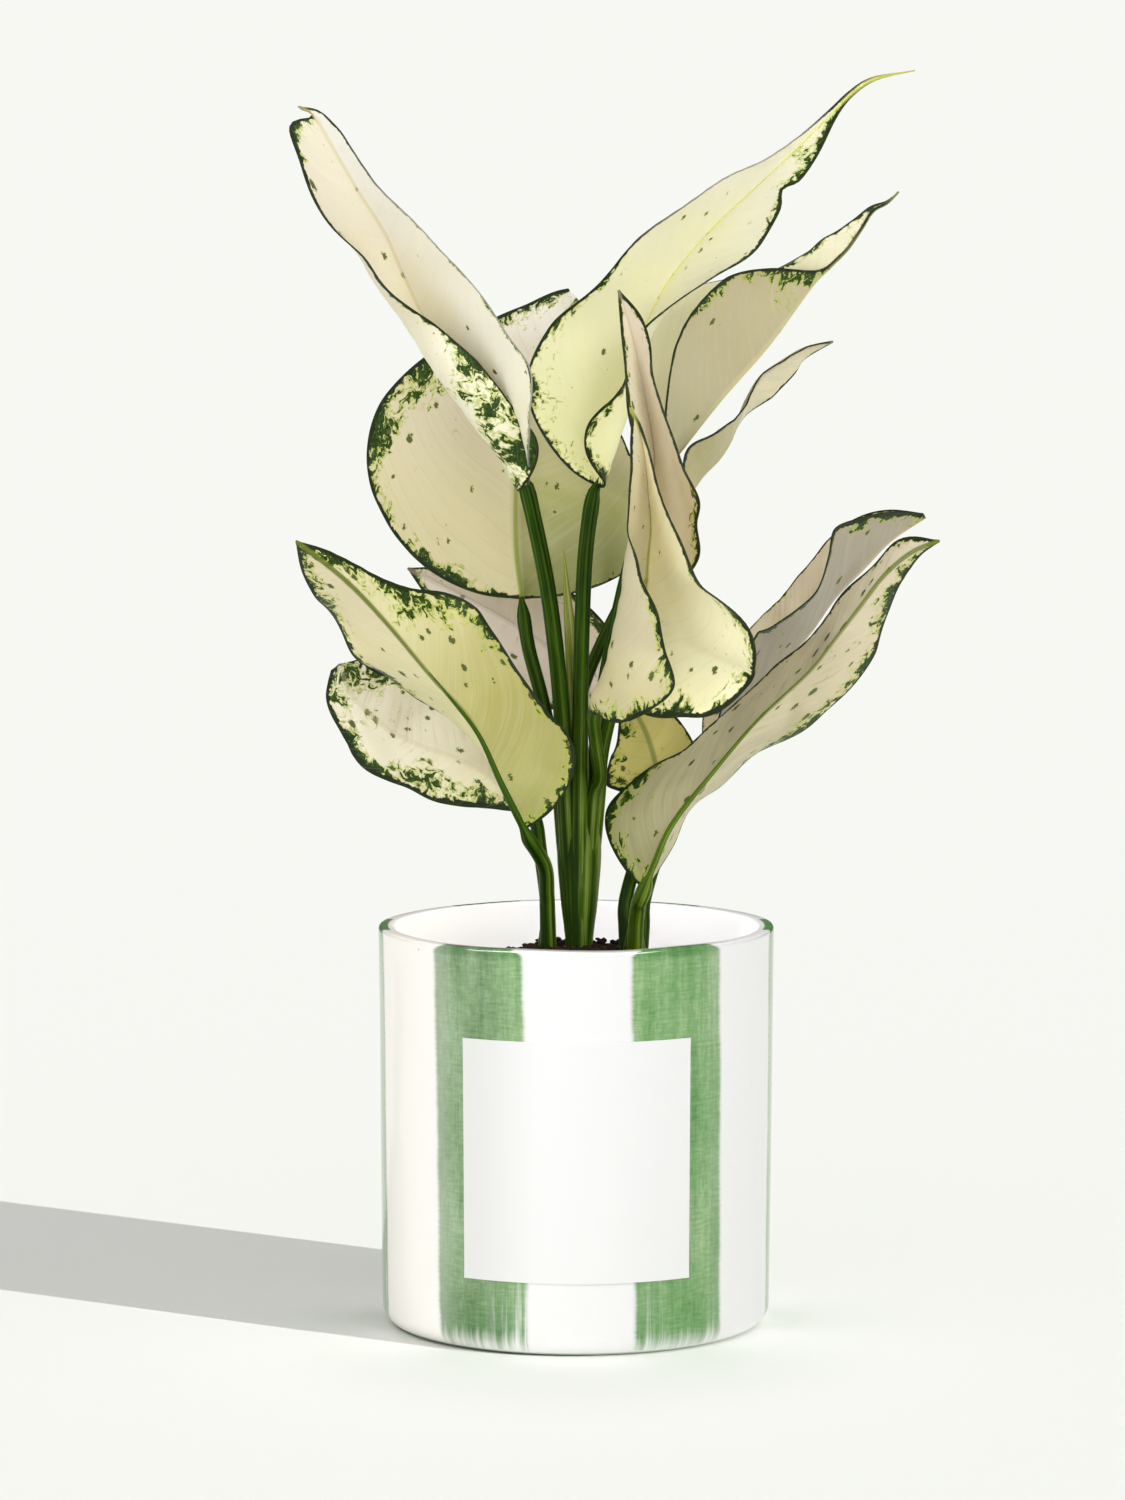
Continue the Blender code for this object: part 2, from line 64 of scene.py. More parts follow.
def nodeAdder(tree):
    def add(kind, inputs=(), out=0, stops=()):
        # adds a node to the tree: kind is its kind and then its job; inputs are values, hex colours or the
        # sockets that feed them, in order or by name; stops are a ramp's (place, hex)
        kind, _, job = kind.partition(" ")
        node = tree.nodes.new("ShaderNode" + kind)
        if job:
            setattr(node, jobs[kind], job)
        for key, value in inputs.items() if isinstance(inputs, dict) else enumerate(inputs):
            if isinstance(value, bpy.types.NodeSocket):
                tree.links.new(value, node.inputs[key])
            else:
                node.inputs[key].default_value = linear(value) if isinstance(value, str) else value
        for k, (place, hexColour) in enumerate(stops):
            element = node.color_ramp.elements[k] if k < 2 else node.color_ramp.elements.new(place)
            element.position = place
            element.color = linear(hexColour)
        return node.outputs[out]
    return add


def newMaterial(name, shaderValues):
    # what is the same all over the surface is set on the shader's own sockets
    made = bpy.data.materials.new(name)
    made.use_nodes = True
    shader = made.node_tree.nodes["Principled BSDF"]
    for key, value in shaderValues.items():
        shader.inputs[key].default_value = value
    return made, nodeAdder(made.node_tree)


def feedShader(material, colour, height, strength, depth, roughness=None):
    # colour and fine relief of a surface; depth is in millimetres
    tree = material.node_tree
    shader = tree.nodes["Principled BSDF"]
    bump = nodeAdder(tree)("Bump", {"Height": height, "Strength": strength, "Distance": depth * mm})
    for key, socket in (("Base Color", colour), ("Normal", bump), ("Roughness", roughness)):
        if socket:
            tree.links.new(socket, shader.inputs[key])


def clearSelection():
    if bpy.context.object and bpy.context.object.mode != "OBJECT":
        bpy.ops.object.mode_set(mode="OBJECT")
    bpy.ops.object.select_all(action="DESELECT")


def startPiece(name, addPrimitive, **sizes):
    # a new primitive, with nothing else selected
    clearSelection()
    addPrimitive(**sizes)
    piece = bpy.context.object
    piece.name = name
    return piece


def activate(piece):
    clearSelection()
    piece.select_set(True)
    bpy.context.view_layer.objects.active = piece


def selectOnly(piece, mode, test):
    # edit mode, with only the faces or edges that pass the test selected
    if piece.mode != "EDIT":
        bpy.ops.object.mode_set(mode="EDIT")
    bpy.ops.mesh.select_mode(type=mode)
    bpy.ops.mesh.select_all(action="DESELECT")
    bm = bmesh.from_edit_mesh(piece.data)
    for part in bm.faces if mode == "FACE" else bm.edges:
        part.select_set(bool(test(part)))
    bmesh.update_edit_mesh(piece.data)


def selectTop(piece):
    selectOnly(piece, "FACE", lambda face: face.normal.z > 0.9)


def faceOutwards(piece):
    activate(piece)
    bpy.ops.object.mode_set(mode="EDIT")
    bpy.ops.mesh.select_all(action="SELECT")
    bpy.ops.mesh.normals_make_consistent(inside=False)
    bpy.ops.object.mode_set(mode="OBJECT")


def addThickness(piece, thick, offset):
    # thick is in millimetres; offset is 1 for a skin outside the surface and 0 for one on both sides
    skin = piece.modifiers.new("thickness", "SOLIDIFY")
    skin.thickness = thick * mm
    skin.offset = offset
    return skin


def applyModifiers(piece):
    activate(piece)
    for modifier in list(piece.modifiers):
        bpy.ops.object.modifier_apply(modifier=modifier.name)


def finishPiece(piece, material, slotName, *nodes, smoothAngle=60):
    # smooth shading, material and ride of a piece, and the solids that it stands for; its slot name is not
    # used
    activate(piece)
    bpy.ops.object.shade_smooth_by_angle(angle=math.radians(smoothAngle))
    piece.data.materials.clear()
    piece.data.materials.append(material)
    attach(piece, "root")
    if nodes:
        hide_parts(*nodes)


def mix(a, b, f):
    return a + (b - a) * f


def clamp(value):
    return min(max(value, 0.0), 1.0)


def through(points, t):
    # smooth curve through evenly spaced values or points
    last = len(points) - 1
    if last == 0:
        return points[0]
    x = clamp(t) * last
    i = min(int(x), last - 1)
    f = x - i
    p1, p2 = points[i], points[i + 1]
    p0 = points[i - 1] if i > 0 else p1 * 2 - p2
    p3 = points[i + 2] if i + 2 <= last else p2 * 2 - p1
    return (p1 * 2 + (p2 - p0) * f + (p0 * 2 - p1 * 5 + p2 * 4 - p3) * f ** 2
            + (p1 * 3 - p0 - p2 * 3 + p3) * f ** 3) * 0.5


def evenly(points, places):
    # points at the given shares of the length of the smooth curve through points, and that length
    steps = 400
    points = [Vector(p) for p in points]
    dense = [through(points, k / steps) for k in range(steps + 1)]
    run = [0.0]
    for a, b in zip(dense, dense[1:]):
        run.append(run[-1] + (b - a).length)
    found, k = [], 0
    for place in places:
        want = run[-1] * place
        while k < steps - 1 and run[k + 1] < want:
            k += 1
        f = (want - run[k]) / max(run[k + 1] - run[k], 1e-9)
        found.append(dense[k].lerp(dense[k + 1], f))
    return found, run[-1]


def directions(points):
    found = []
    for k in range(len(points)):
        a, b = points[max(k - 1, 0)], points[min(k + 1, len(points) - 1)]
        found.append((b - a).normalized())
    return found


def frontOf(direction):
    # the way to the front, square to the direction
    front = Vector((0.0, -1.0, 0.0))
    return (front - direction * front.dot(direction)).normalized()


def aimed(item):
    # the turn of a camera or lamp that looks from its place to its aim
    return (Vector(item["aim"]) - Vector(item["place"])).to_track_quat("-Z", "Y").to_euler()


# camera: a long lens at table height, looking a little down; lengths in millimetres
view = {"place": (-4.8, -2000, 410), "aim": (-4.8, 0, 200), "lens": 139.4, "sensor": 36.0, "far": 50000}
camera = bpy.data.objects.new("camera", bpy.data.cameras.new("camera"))
bpy.context.scene.collection.objects.link(camera)
camera.location = Vector(view["place"]) * mm
camera.rotation_euler = aimed(view)
camera.data.lens = view["lens"]
camera.data.sensor_width = view["sensor"]
camera.data.clip_end = view["far"] * mm
bpy.context.scene.camera = camera
bpy.context.scene.view_settings.view_transform = "Standard"

# floor and backdrop share one colour, so that no horizon shows; lengths in metres
backdrop = {"colour": "f7f8f3", "floorSize": 12.0, "fade": (0.8, 2.2),
            "shadeByPot": "ebede7", "shadeByPotAt": (0.0, -0.06, 0.0), "shadeByPotFade": (0.02, 0.12)}
# world: its light, and how dim reflections find it towards the back
surround = {"light": 0.62, "dimmest": 0.12, "dimAt": (0.1, 0.6)}


def makeFloor():
    floor = startPiece("floor", bpy.ops.mesh.primitive_plane_add, size=backdrop["floorSize"])
    # matt painted board: no shine; far from the pot it gives way to the plain backdrop colour
    material, add = newMaterial("matt painted board", {"Roughness": 0.9, "Specular IOR Level": 0.0})
    tree = material.node_tree
    shader = tree.nodes["Principled BSDF"]
    place = add("TexCoord", out="Object")
    # painted shade: the board is a shade darker just in front of the pot, whose pale wall throws its light
    # back there
    by = add("VectorMath DISTANCE", (place, backdrop["shadeByPotAt"]), "Value")
    by = add("MapRange SMOOTHSTEP", (by, *backdrop["shadeByPotFade"]))
    board = add("ValToRGB", (by,), stops=((0.0, backdrop["shadeByPot"]), (1.0, backdrop["colour"])))
    tree.links.new(board, shader.inputs["Base Color"])
    away = add("VectorMath LENGTH", (place,), "Value")
    fade = add("MapRange SMOOTHSTEP", (away, *backdrop["fade"]))
    share = add("Math MULTIPLY", (fade, add("LightPath", out="Is Camera Ray")))
    plain = add("Emission", {"Color": backdrop["colour"]})
    both = add("MixShader", (share, shader.outputs[0], plain))
    tree.links.new(both, tree.nodes["Material Output"].inputs["Surface"])
    floor.data.materials.append(material)
    return floor


def makeWorld():
    world = bpy.data.worlds.new("studio")
    bpy.context.scene.world = world
    world.use_nodes = True
    add = nodeAdder(world.node_tree)
    seen, mirrored = [add("LightPath", out=ray) for ray in ("Is Camera Ray", "Is Glossy Ray")]
    # dim behind the plant for reflections alone, so that glossy rounds darken where they turn away
    back = add("SeparateXYZ", (add("TexCoord", out="Generated"),), "Y")
    dim = add("MapRange SMOOTHSTEP", (back, *surround["dimAt"], 1.0, surround["dimmest"]))
    dim = add("Mix", {0: mirrored, 2: 1.0, 3: dim})
    strength = add("Math MULTIPLY", (dim, surround["light"]))
    light = add("Background", {"Color": "ffffff", "Strength": strength})
    shown = add("Background", {"Color": backdrop["colour"]})
    both = add("MixShader", (seen, light, shown))
    world.node_tree.links.new(both, world.node_tree.nodes["World Output"].inputs["Surface"])


def makeLamp(name, lamp):
    lamp = {"kind": "AREA", "size": (0.9, 0.9), **lamp}
    data = bpy.data.lights.new(name, lamp["kind"])
    data.energy = lamp["energy"]
    if lamp["kind"] == "SUN":
        data.angle = math.radians(lamp["angle"])
    else:
        data.shape = "RECTANGLE"
        data.size, data.size_y = lamp["size"]
    made = bpy.data.objects.new(name, data)
    bpy.context.scene.collection.objects.link(made)
    made.location = lamp["place"]
    made.rotation_euler = aimed(lamp)
    made.visible_diffuse = not lamp.get("shineOnly", False)
    made.visible_glossy = not lamp.get("shineless", False)
    # light linking: which pieces the lamp lights or leaves out, and which of them cast its shadow
    for use, key in (("receiver_collection", "lights"), ("receiver_collection", "skips"),
                     ("blocker_collection", "shadowOf")):
        if key in lamp:
            group = bpy.data.collections.new(name + " " + key)
            for piece in lamp[key]:
                group.objects.link(piece)
            for item in group.collection_objects:
                item.light_linking.link_state = "EXCLUDE" if key == "skips" else "INCLUDE"
            setattr(made.light_linking, use, group)


floor = makeFloor()
makeWorld()
print("floor and backdrop ready")


# cover pot; lengths in millimetres, stripes in degrees from the front, lumps to a metre; a mark of the brush
# has its width, its height and its detail; a span is the start and end of a range, and what it gives at them
pot = {
    "sides": 192, "wall": 5.5, "flare": 1.2, "floorThick": 8, "rings": 14, "ringRoom": (4, 6),
    "wobble": 0.35, "wobbleFrom": 20, "lumps": 22, "lumpStretch": 0.7, "rimLumps": 30, "rimHigh": 4,
    "rounds": {"rim": 2.6, "bottom": 6.5, "inside": 4}, "roundSteps": 8, "peelSize": 4, "peelHigh": 0.8,
    "stripeAngles": (30.3, 90.5, 150.6), "stripeGap": 60, "stripeHalf": 14.9, "edgeSoft": 2, "lean": 1.6,
    "marks": {"bristles": (2.2, 83.333, 4), "strokes": (9, 62.5, 2), "clouds": (20, 25, 2),
              "threadsUp": (1, 5, 2), "threadsAcross": (5, 1, 2)},
    "unevenEdge": {"clouds": 1.6, "threadsAcross": 0.7}, "unevenEnd": {"bristles": 12, "strokes": 9},
    "shades": {"strokes": 1.1, "bristles": 0.5, "clouds": 0.5, "threadsUp": 0.6, "threadsAcross": 0.65},
    "endFrom": -4.5, "toneFrom": -0.82, "greyShift": 24, "tones": (0, 0.3, 0.58, 0.95),
    "spans": {"corner": (2.8, 0.2, 0, 1.4), "end": (-7, 3), "outside": (3.6, 3), "dried": (34, 12),
              "driedInside": (-1, -12), "driedLeft": (-10, 10, 1, 0.35), "driedLines": (0.47, 0.6, 0.1, 0.7),
              "pool": (3.8, 1.8, 0.25, 0.6), "puddle": (26, 2), "puddleLeft": (-10, 10, -0.44, -0.14),
              "shadedLeft": (-26, 2, 0.85, 0), "thin": (5, 15.5), "thinLeft": (-45, 45, 0.48, 0.22),
              "fringe": (0.25, 0.85, 0.8, 0), "warmCast": (-62, -8, 1, 0), "pit": (0.016, 0.028, 0.6, 0),
              "foot": (0.7, 1.5, 0.8, 0)},
    "greens": ("438237", "609850", "7eab6b", "a4c78f"), "thinPaint": "bccab5", "fringe": "c3d0bf",
    "shadedGreens": ("4b6f43", "658659", "809d73", "a2b797"), "glaze": "fcfbfc", "warmLitGlaze": "fdf9f2",
    "pit": "86817a", "pitCells": 0.055, "footLine": "7f9a76",
}


def flareAt(height):
    # how much narrower the wall is at a height than at the rim, as a share
    return 1.0 - pot["flare"] * mm * (1.0 - clamp(height / potHigh.z)) / potHigh.x


def makePotGlaze():
    # glossy glaze over white earthenware: a soft mirror that keeps the brushed underglaze stripes crisp
    material, add = newMaterial("glossy glazed earthenware", {
        "IOR": 1.5, "Roughness": 0.16, "Coat Weight": 0.35, "Coat Roughness": 0.06})
    radius, top, span = potHigh.x / mm, potHigh.z / mm, pot["spans"]
    place = add("VectorMath MULTIPLY", (add("TexCoord", out="Object"), (1 / mm,) * 3))
    x, y, up = add("SeparateXYZ", (place,)).node.outputs
    turn = add("Math ARCTAN2", (x, add("Math MULTIPLY", (y, -1.0))))
    # the strokes were drawn downwards and lean a little
    lean = add("MapRange", (up, top, 0.0, 0.0, -pot["lean"]))
    degrees = add("Math MULTIPLY_ADD", (turn, 180 / math.pi, lean))
    degrees = add("Math ABSOLUTE", (degrees,))
    # the wall laid flat, in millimetres, so that the brush marks stay upright
    wall = add("CombineXYZ", (add("Math MULTIPLY", (turn, radius)), up))
    marks = {}
    for mark, (wide, high, detail) in pot["marks"].items():
        spot = add("Mapping", {"Vector": wall, "Scale": (1 / wide, 1 / high, 1.0)})
        marks[mark] = add("TexNoise", {"Vector": spot, "Scale": 1.0, "Detail": detail, "Roughness": 0.6})
    # distance outside the nearest stripe, in degrees, with an edge that the brush left uneven
    reach = 180.0
    for angle in pot["stripeAngles"]:
        gap = add("Math ABSOLUTE", (add("Math SUBTRACT", (degrees, angle)),))
        reach = add("Math MINIMUM", (reach, gap))
    for mark, share in pot["unevenEdge"].items():
        reach = add("Math MULTIPLY_ADD", (marks[mark], share, reach))
    # rounded corners at the top, bristle streaks at the bottom
    below = add("Math SUBTRACT", (top, up))
    corner = add("Math POWER", (add("MapRange", (below, *span["corner"])), 3.0))
    reach = add("Math ADD", (reach, corner))
    half = pot["stripeHalf"]
    edge = add("MapRange SMOOTHSTEP", (reach, half, half + pot["edgeSoft"], 1.0, 0.0))
    dry = pot["endFrom"]
    for mark, share in pot["unevenEnd"].items():
        dry = add("Math MULTIPLY_ADD", (marks[mark], share, dry))
    bare = add("Math SUBTRACT", (up, dry))
    end = add("MapRange SMOOTHSTEP", (bare, *span["end"]))
    away = add("VectorMath LENGTH", (add("CombineXYZ", (x, y)),), "Value")
    outside = add("MapRange", (add("Math SUBTRACT", (radius, away)), *span["outside"]))
    # across is the place on a stripe, from -half at its inner edge to half at its outer edge
    across = add("Math MODULO", (degrees, pot["stripeGap"]))
    across = add("Math SUBTRACT", (across, pot["stripeAngles"][0]))
    # the brush runs dry low down on the inner side, most of all on the left: bristle lines of bare glaze show
    dried = add("MapRange SMOOTHSTEP", (up, *span["dried"]))
    for value, key in ((across, "driedInside"), (x, "driedLeft"), (marks["bristles"], "driedLines")):
        dried = add("Math MULTIPLY", (dried, add("MapRange", (value, *span[key]))))
    painted = edge
    for share in (end, outside, add("Math SUBTRACT", (1.0, dried))):
        painted = add("Math MULTIPLY", (painted, share))
    # paint tone: strokes and bristles upright, with a canvas print of threads across and up
    tone = pot["toneFrom"]
    for mark, share in pot["shades"].items():
        tone = add("Math MULTIPLY_ADD", (marks[mark], share, tone))
    # the paint pools and darkens where it turns over the rim, and a little above the foot
    pool = add("MapRange", (below, *span["pool"]))
    tone = add("Math SUBTRACT", (tone, pool))
    puddle = add("MapRange SMOOTHSTEP", (bare, *span["puddle"]))
    deep = add("MapRange", (x, *span["puddleLeft"]))
    tone = add("Math MULTIPLY_ADD", (puddle, deep, tone))
    green, shadedGreen = [add("ValToRGB", (tone,), stops=zip(pot["tones"], pot[hues]))
                        for hues in ("greens", "shadedGreens")]
    # painted shade: the stripes turn a darker, greyer green towards the left side of the pot, with a cloudy
    # edge
    left = add("Math MULTIPLY_ADD", (marks["clouds"], pot["greyShift"], x))
    left = add("MapRange SMOOTHSTEP", (left, *span["shadedLeft"]))
    # the paint is thinner and greyer towards the outer side of a stripe, with a grey green fringe at its edge
    thin = add("MapRange SMOOTHSTEP", (across, *span["thin"]))
    thin = add("Math MULTIPLY", (thin, add("MapRange", (x, *span["thinLeft"]))))
    fringe = add("MapRange", (edge, *span["fringe"]))
    for share, hue in ((left, shadedGreen), (thin, pot["thinPaint"]), (fringe, pot["fringe"])):
        green = add("Mix RGBA", {0: share, 6: green, 7: hue}, 2)
    # a few pin holes in the glaze, about half a millimetre wide, and a thin line above the foot
    pits = add("TexVoronoi", {"Vector": wall, "Scale": pot["pitCells"]}, "Distance")
    pits = add("MapRange", (pits, *span["pit"]))
    # painted warm light: the white glaze turns warmer towards the left side of the pot
    warmCast, foot = add("MapRange", (x, *span["warmCast"])), add("MapRange", (up, *span["foot"]))
    colour = pot["glaze"]
    for share, hue in ((warmCast, pot["warmLitGlaze"]), (pits, pot["pit"]), (painted, green),
                       (foot, pot["footLine"])):
        colour = add("Mix RGBA", {0: share, 6: colour, 7: hue}, 2)
    peel = add("TexNoise", {"Vector": place, "Scale": 1 / pot["peelSize"], "Detail": 2.0})
    ridges = add("Math MULTIPLY", (marks["bristles"], painted))
    relief = add("Math MULTIPLY_ADD", (peel, pot["peelHigh"], ridges))
    feedShader(material, colour, relief, strength=0.12, depth=0.2)
    return material


def makePot():
    low, high = potLow.z, potHigh.z
    inside = low + pot["floorThick"] * mm
    piece = startPiece("cover_pot", bpy.ops.mesh.primitive_cylinder_add, vertices=pot["sides"],
                       radius=potHigh.x, depth=high - low, location=(0, 0, (low + high) / 2),
                       end_fill_type="NGON")
    bpy.ops.object.transform_apply(location=True)
    selectTop(piece)
    bpy.ops.mesh.inset(thickness=pot["wall"] * mm)
    bpy.ops.mesh.extrude_region_move(TRANSFORM_OT_translate={"value": (0, 0, inside - high)})
    bpy.ops.object.mode_set(mode="OBJECT")
    for name, height in (("rim", high), ("bottom", low), ("inside", inside)):
        group = piece.vertex_groups.new(name=name)
        group.add([v.index for v in piece.data.vertices if abs(v.co.z - height) < 0.01 * mm], 1.0, "REPLACE")
        bevel = piece.modifiers.new(name, "BEVEL")
        bevel.width = pot["rounds"][name] * mm
        bevel.segments = pot["roundSteps"]
        bevel.limit_method = "VGROUP"
        bevel.vertex_group = name
    applyModifiers(piece)
    # rings up the wall, clear of its rounded ends, then the slight waviness of a hand finished pot
    bpy.ops.object.mode_set(mode="EDIT")
    lowest, highest = inside + pot["ringRoom"][0] * mm, high - pot["ringRoom"][1] * mm
    for k in range(1, pot["rings"]):
        bpy.ops.mesh.select_all(action="SELECT")
        bpy.ops.mesh.bisect(plane_co=(0, 0, mix(lowest, highest, k / pot["rings"])),
                            plane_no=(0, 0, 1))
    faceOutwards(piece)
    for v in piece.data.vertices:
        out = Vector((v.co.x, v.co.y, 0))
        if out.length > pot["wobbleFrom"] * mm:
            spot = Vector((v.co.x, v.co.y, v.co.z * pot["lumpStretch"])) * pot["lumps"]
            v.co += out.normalized() * noise.noise(spot) * pot["wobble"] * mm
        v.co.x, v.co.y = v.co.x * flareAt(v.co.z), v.co.y * flareAt(v.co.z)
        if v.co.z > high - pot["rimHigh"] * mm:
            v.co.z += noise.noise(Vector((v.co.x, v.co.y, 0)) * pot["rimLumps"]) * pot["wobble"] * mm
    finishPiece(piece, makePotGlaze(), "glazed_pot", "pot", smoothAngle=50)
    return piece


# label: a bare square of paper glued round the wall, its corners a little loose; lengths in millimetres
label = {"thick": 0.45, "glue": 0.25, "cells": 60, "cornerLift": 0.2, "cornerFrom": 0.9, "fibre": 1.1,
         "shadeEnd": -8.0, "paper": "fbfbfb", "shade": "e9e9e8", "fleck": "d9d8d4", "fleckShare": 0.05}


def makeLabel():
    turnHalf = math.asin(min(labelHigh.x / (potHigh.x * flareAt(labelHigh.z)), 1.0))
    piece = startPiece("paper_label", bpy.ops.mesh.primitive_grid_add, size=2,
                       x_subdivisions=label["cells"], y_subdivisions=label["cells"])
    for v in piece.data.vertices:
        turn = v.co.x * turnHalf
        loose = max(0.0, abs(v.co.x * v.co.y) - label["cornerFrom"]) / (1 - label["cornerFrom"])
        height = mix(labelLow.z, labelHigh.z, (v.co.y + 1) / 2)
        out = potHigh.x * flareAt(height) + (label["glue"] + label["cornerLift"] * loose) * mm
        v.co = Vector((math.sin(turn) * out, -math.cos(turn) * out, height))
    addThickness(piece, label["thick"], offset=1.0)
    applyModifiers(piece)
    # uncoated white paper: matt, with a faint fibre tooth
    material, add = newMaterial("uncoated white paper", {"Roughness": 0.75, "Specular IOR Level": 0.3})
    place = add("TexCoord", out="Object")
    fibre = add("TexNoise", {"Vector": place, "Scale": 1 / mm / label["fibre"], "Detail": 3.0})
    # painted shade: the paper turns a little grey towards its left edge
    across = add("SeparateXYZ", (place,))
    across = add("MapRange SMOOTHSTEP", (across, labelLow.x, label["shadeEnd"] * mm))
    shade = add("ValToRGB", (across,), stops=((0.0, label["shade"]), (1.0, label["paper"])))
    share = add("Math MULTIPLY", (fibre, label["fleckShare"]))
    colour = add("Mix RGBA", {0: share, 6: shade, 7: label["fleck"]}, 2)
    feedShader(material, colour, fibre, strength=0.15, depth=0.08)
    finishPiece(piece, material, "paper_label", "label", smoothAngle=40)
    return piece


coverPot, paperLabel = makePot(), makeLabel()
vessel = [coverPot, paperLabel]
offPlant = [floor, *vessel]
print("cover pot and label ready")

# lamps; places and sizes in metres, energies in watts, or watts per square metre for the sun
studio = {
    "softboxRight": {"place": (1.1, -1.3, 1.0), "aim": (0, 0, 0.22), "energy": 12.0, "skips": offPlant},
    "softboxLeft": {"place": (-1.2, -1.2, 0.9), "aim": (0, 0, 0.22), "energy": 7.5, "skips": offPlant},
    "frontFill": {"place": (0.1, -1.7, 0.42), "aim": (0, 0, 0.28), "energy": 6.0, "skips": offPlant},
    "potFill": {"place": (0.05, -1.36, 1.35), "aim": (0, 0, 0.1), "energy": 9.4, "lights": vessel,
                "shadowOf": vessel},
    "potSideFill": {"place": (-1.4, -0.8, 0.6), "aim": (0, 0, 0.07), "energy": 4.4, "lights": vessel,
                    "shadowOf": vessel, "shineless": True},
    "rimGlow": {"place": (-0.49, -1.0, 0.95), "aim": (-0.49, 0, 0.13), "energy": 130.0, "size": (3.1, 1.0),
                "lights": [coverPot], "shadowOf": [coverPot], "shineOnly": True},
    "mouthFill": {"place": (0, -0.03, 0.19), "aim": (0, 0.06, 0.125), "energy": 0.115, "size": (0.08, 0.04),
                  "lights": [coverPot], "shadowOf": [coverPot]},
    "floorSun": {"kind": "SUN", "place": (1.79, -1.16, 0.78), "aim": (0, 0, 0), "energy": 3.45, "angle": 0.4,
                 "lights": [floor]},
}
for lampName, lamp in studio.items():
    makeLamp(lampName, lamp)
print("lamps ready")


# leaves; lengths in millimetres; a mark has its size, its stretch along the blade, its detail and its bend;
# a room is the distance over which a wave or swell grows to its full height; spans are as for the pot
plant = {
    "rows": 110, "across": 20, "crowding": 1.35, "bladeThick": 0.5, "ribThick": 1.6, "ribHalf": 1.5,
    "leastWidth": (1, 0.25), "ribFall": 0.75, "veinGap": 8.5, "veinLean": 0.75, "veinTurn": 0.7,
    "swell": 0.1, "swellRoom": 6, "waveGap": 34, "waveRoom": 12, "waveShift": 2.1, "uvSpan": 100,
    "marks": {"blotch": (3.4, 1.3, 3, 1.2), "grain": (1, 1.2, 2, 0.6), "patch": (11, 1.6, 1, 0),
              "cloud": (22, 1, 1, 0.4), "streak": (2.2, 12, 3, 0.4)},
    "mottle": {"blotch": 4.6, "grain": 1, "patch": 3.2}, "leastBand": 0.05, "cell": (0.26, 0.16, 1),
    "fleckSizes": (0.22, 0.46), "ragged": 0.5, "grooveHigh": 0.4, "patchHigh": 4.5,
    "spans": {"band": (0, 2.2, 1, -1.2), "mottle": (5, 5.2), "halo": (4.45, 5, 0, 0.7),
              "streak": (0.5, 0.7, 0), "broken": (0.42, 0.62, 0.1, 1), "pale": (0.48, 0.22, 0, 0.1),
              "cloud": (0.45, 0.75, 0, 0.3), "fleck": (-0.01, 0.02, 0, 0.9), "rim": (-0.15, 0.2, 1, 0),
              "fleckHalo": (-0.1, 0.01, 0, 0.5), "width": (0.3, 0.7, 0.45, 1.15), "rib": (0.3, 1.3),
              "groove": (0, 0.06), "faint": (0, 1, 0.09, 0), "shine": (0.3, 0.8, 0.4, 0.52)},
    "greens": ((0.35, "182c08"), (0.55, "29440c"), (0.75, "4c6a16")), "halo": "a8b540", "pale": "fbf7e4",
    "rims": ((0.3, "98948c"), (0.7, "1a2708")), "fleck": "414a1d", "fleckHalo": "a9ad52", "wander": 6,
    "petioleTaper": (1.15, 1, 0.95), "petioleSteps": 90, "jointReach": (-4, 0.5), "ribTip": 0.2,
    "ribPlaces": (0.12, 0.25, 0.4, 0.55, 0.68),
}


def rounding(t, reach):
    s = min(t / reach, 1.0)
    return math.sqrt(max(1.0 - (1.0 - s) ** 2, 0.0))


def hueAndShadeAlong(stops, t):
    # linear colour between hex stops spread from the base to the tip
    colours = [np.array(linear(stop)) for stop in stops]
    x = clamp(t) * (len(colours) - 1)
    i = min(int(x), max(len(colours) - 2, 0))
    return mix(colours[i], colours[min(i + 1, len(colours) - 1)], x - i)


def marginDistance(flat, outline):
    # distance of each point of the flattened blade from its outline
    best = np.full(len(flat), 1e9)
    for a, b in zip(outline, outline[1:]):
        step = b - a
        share = np.clip(((flat - a) @ step) / max(step @ step, 1e-12), 0, 1)
        best = np.minimum(best, np.linalg.norm(flat - a - share[:, None] * step, axis=1))
    return best


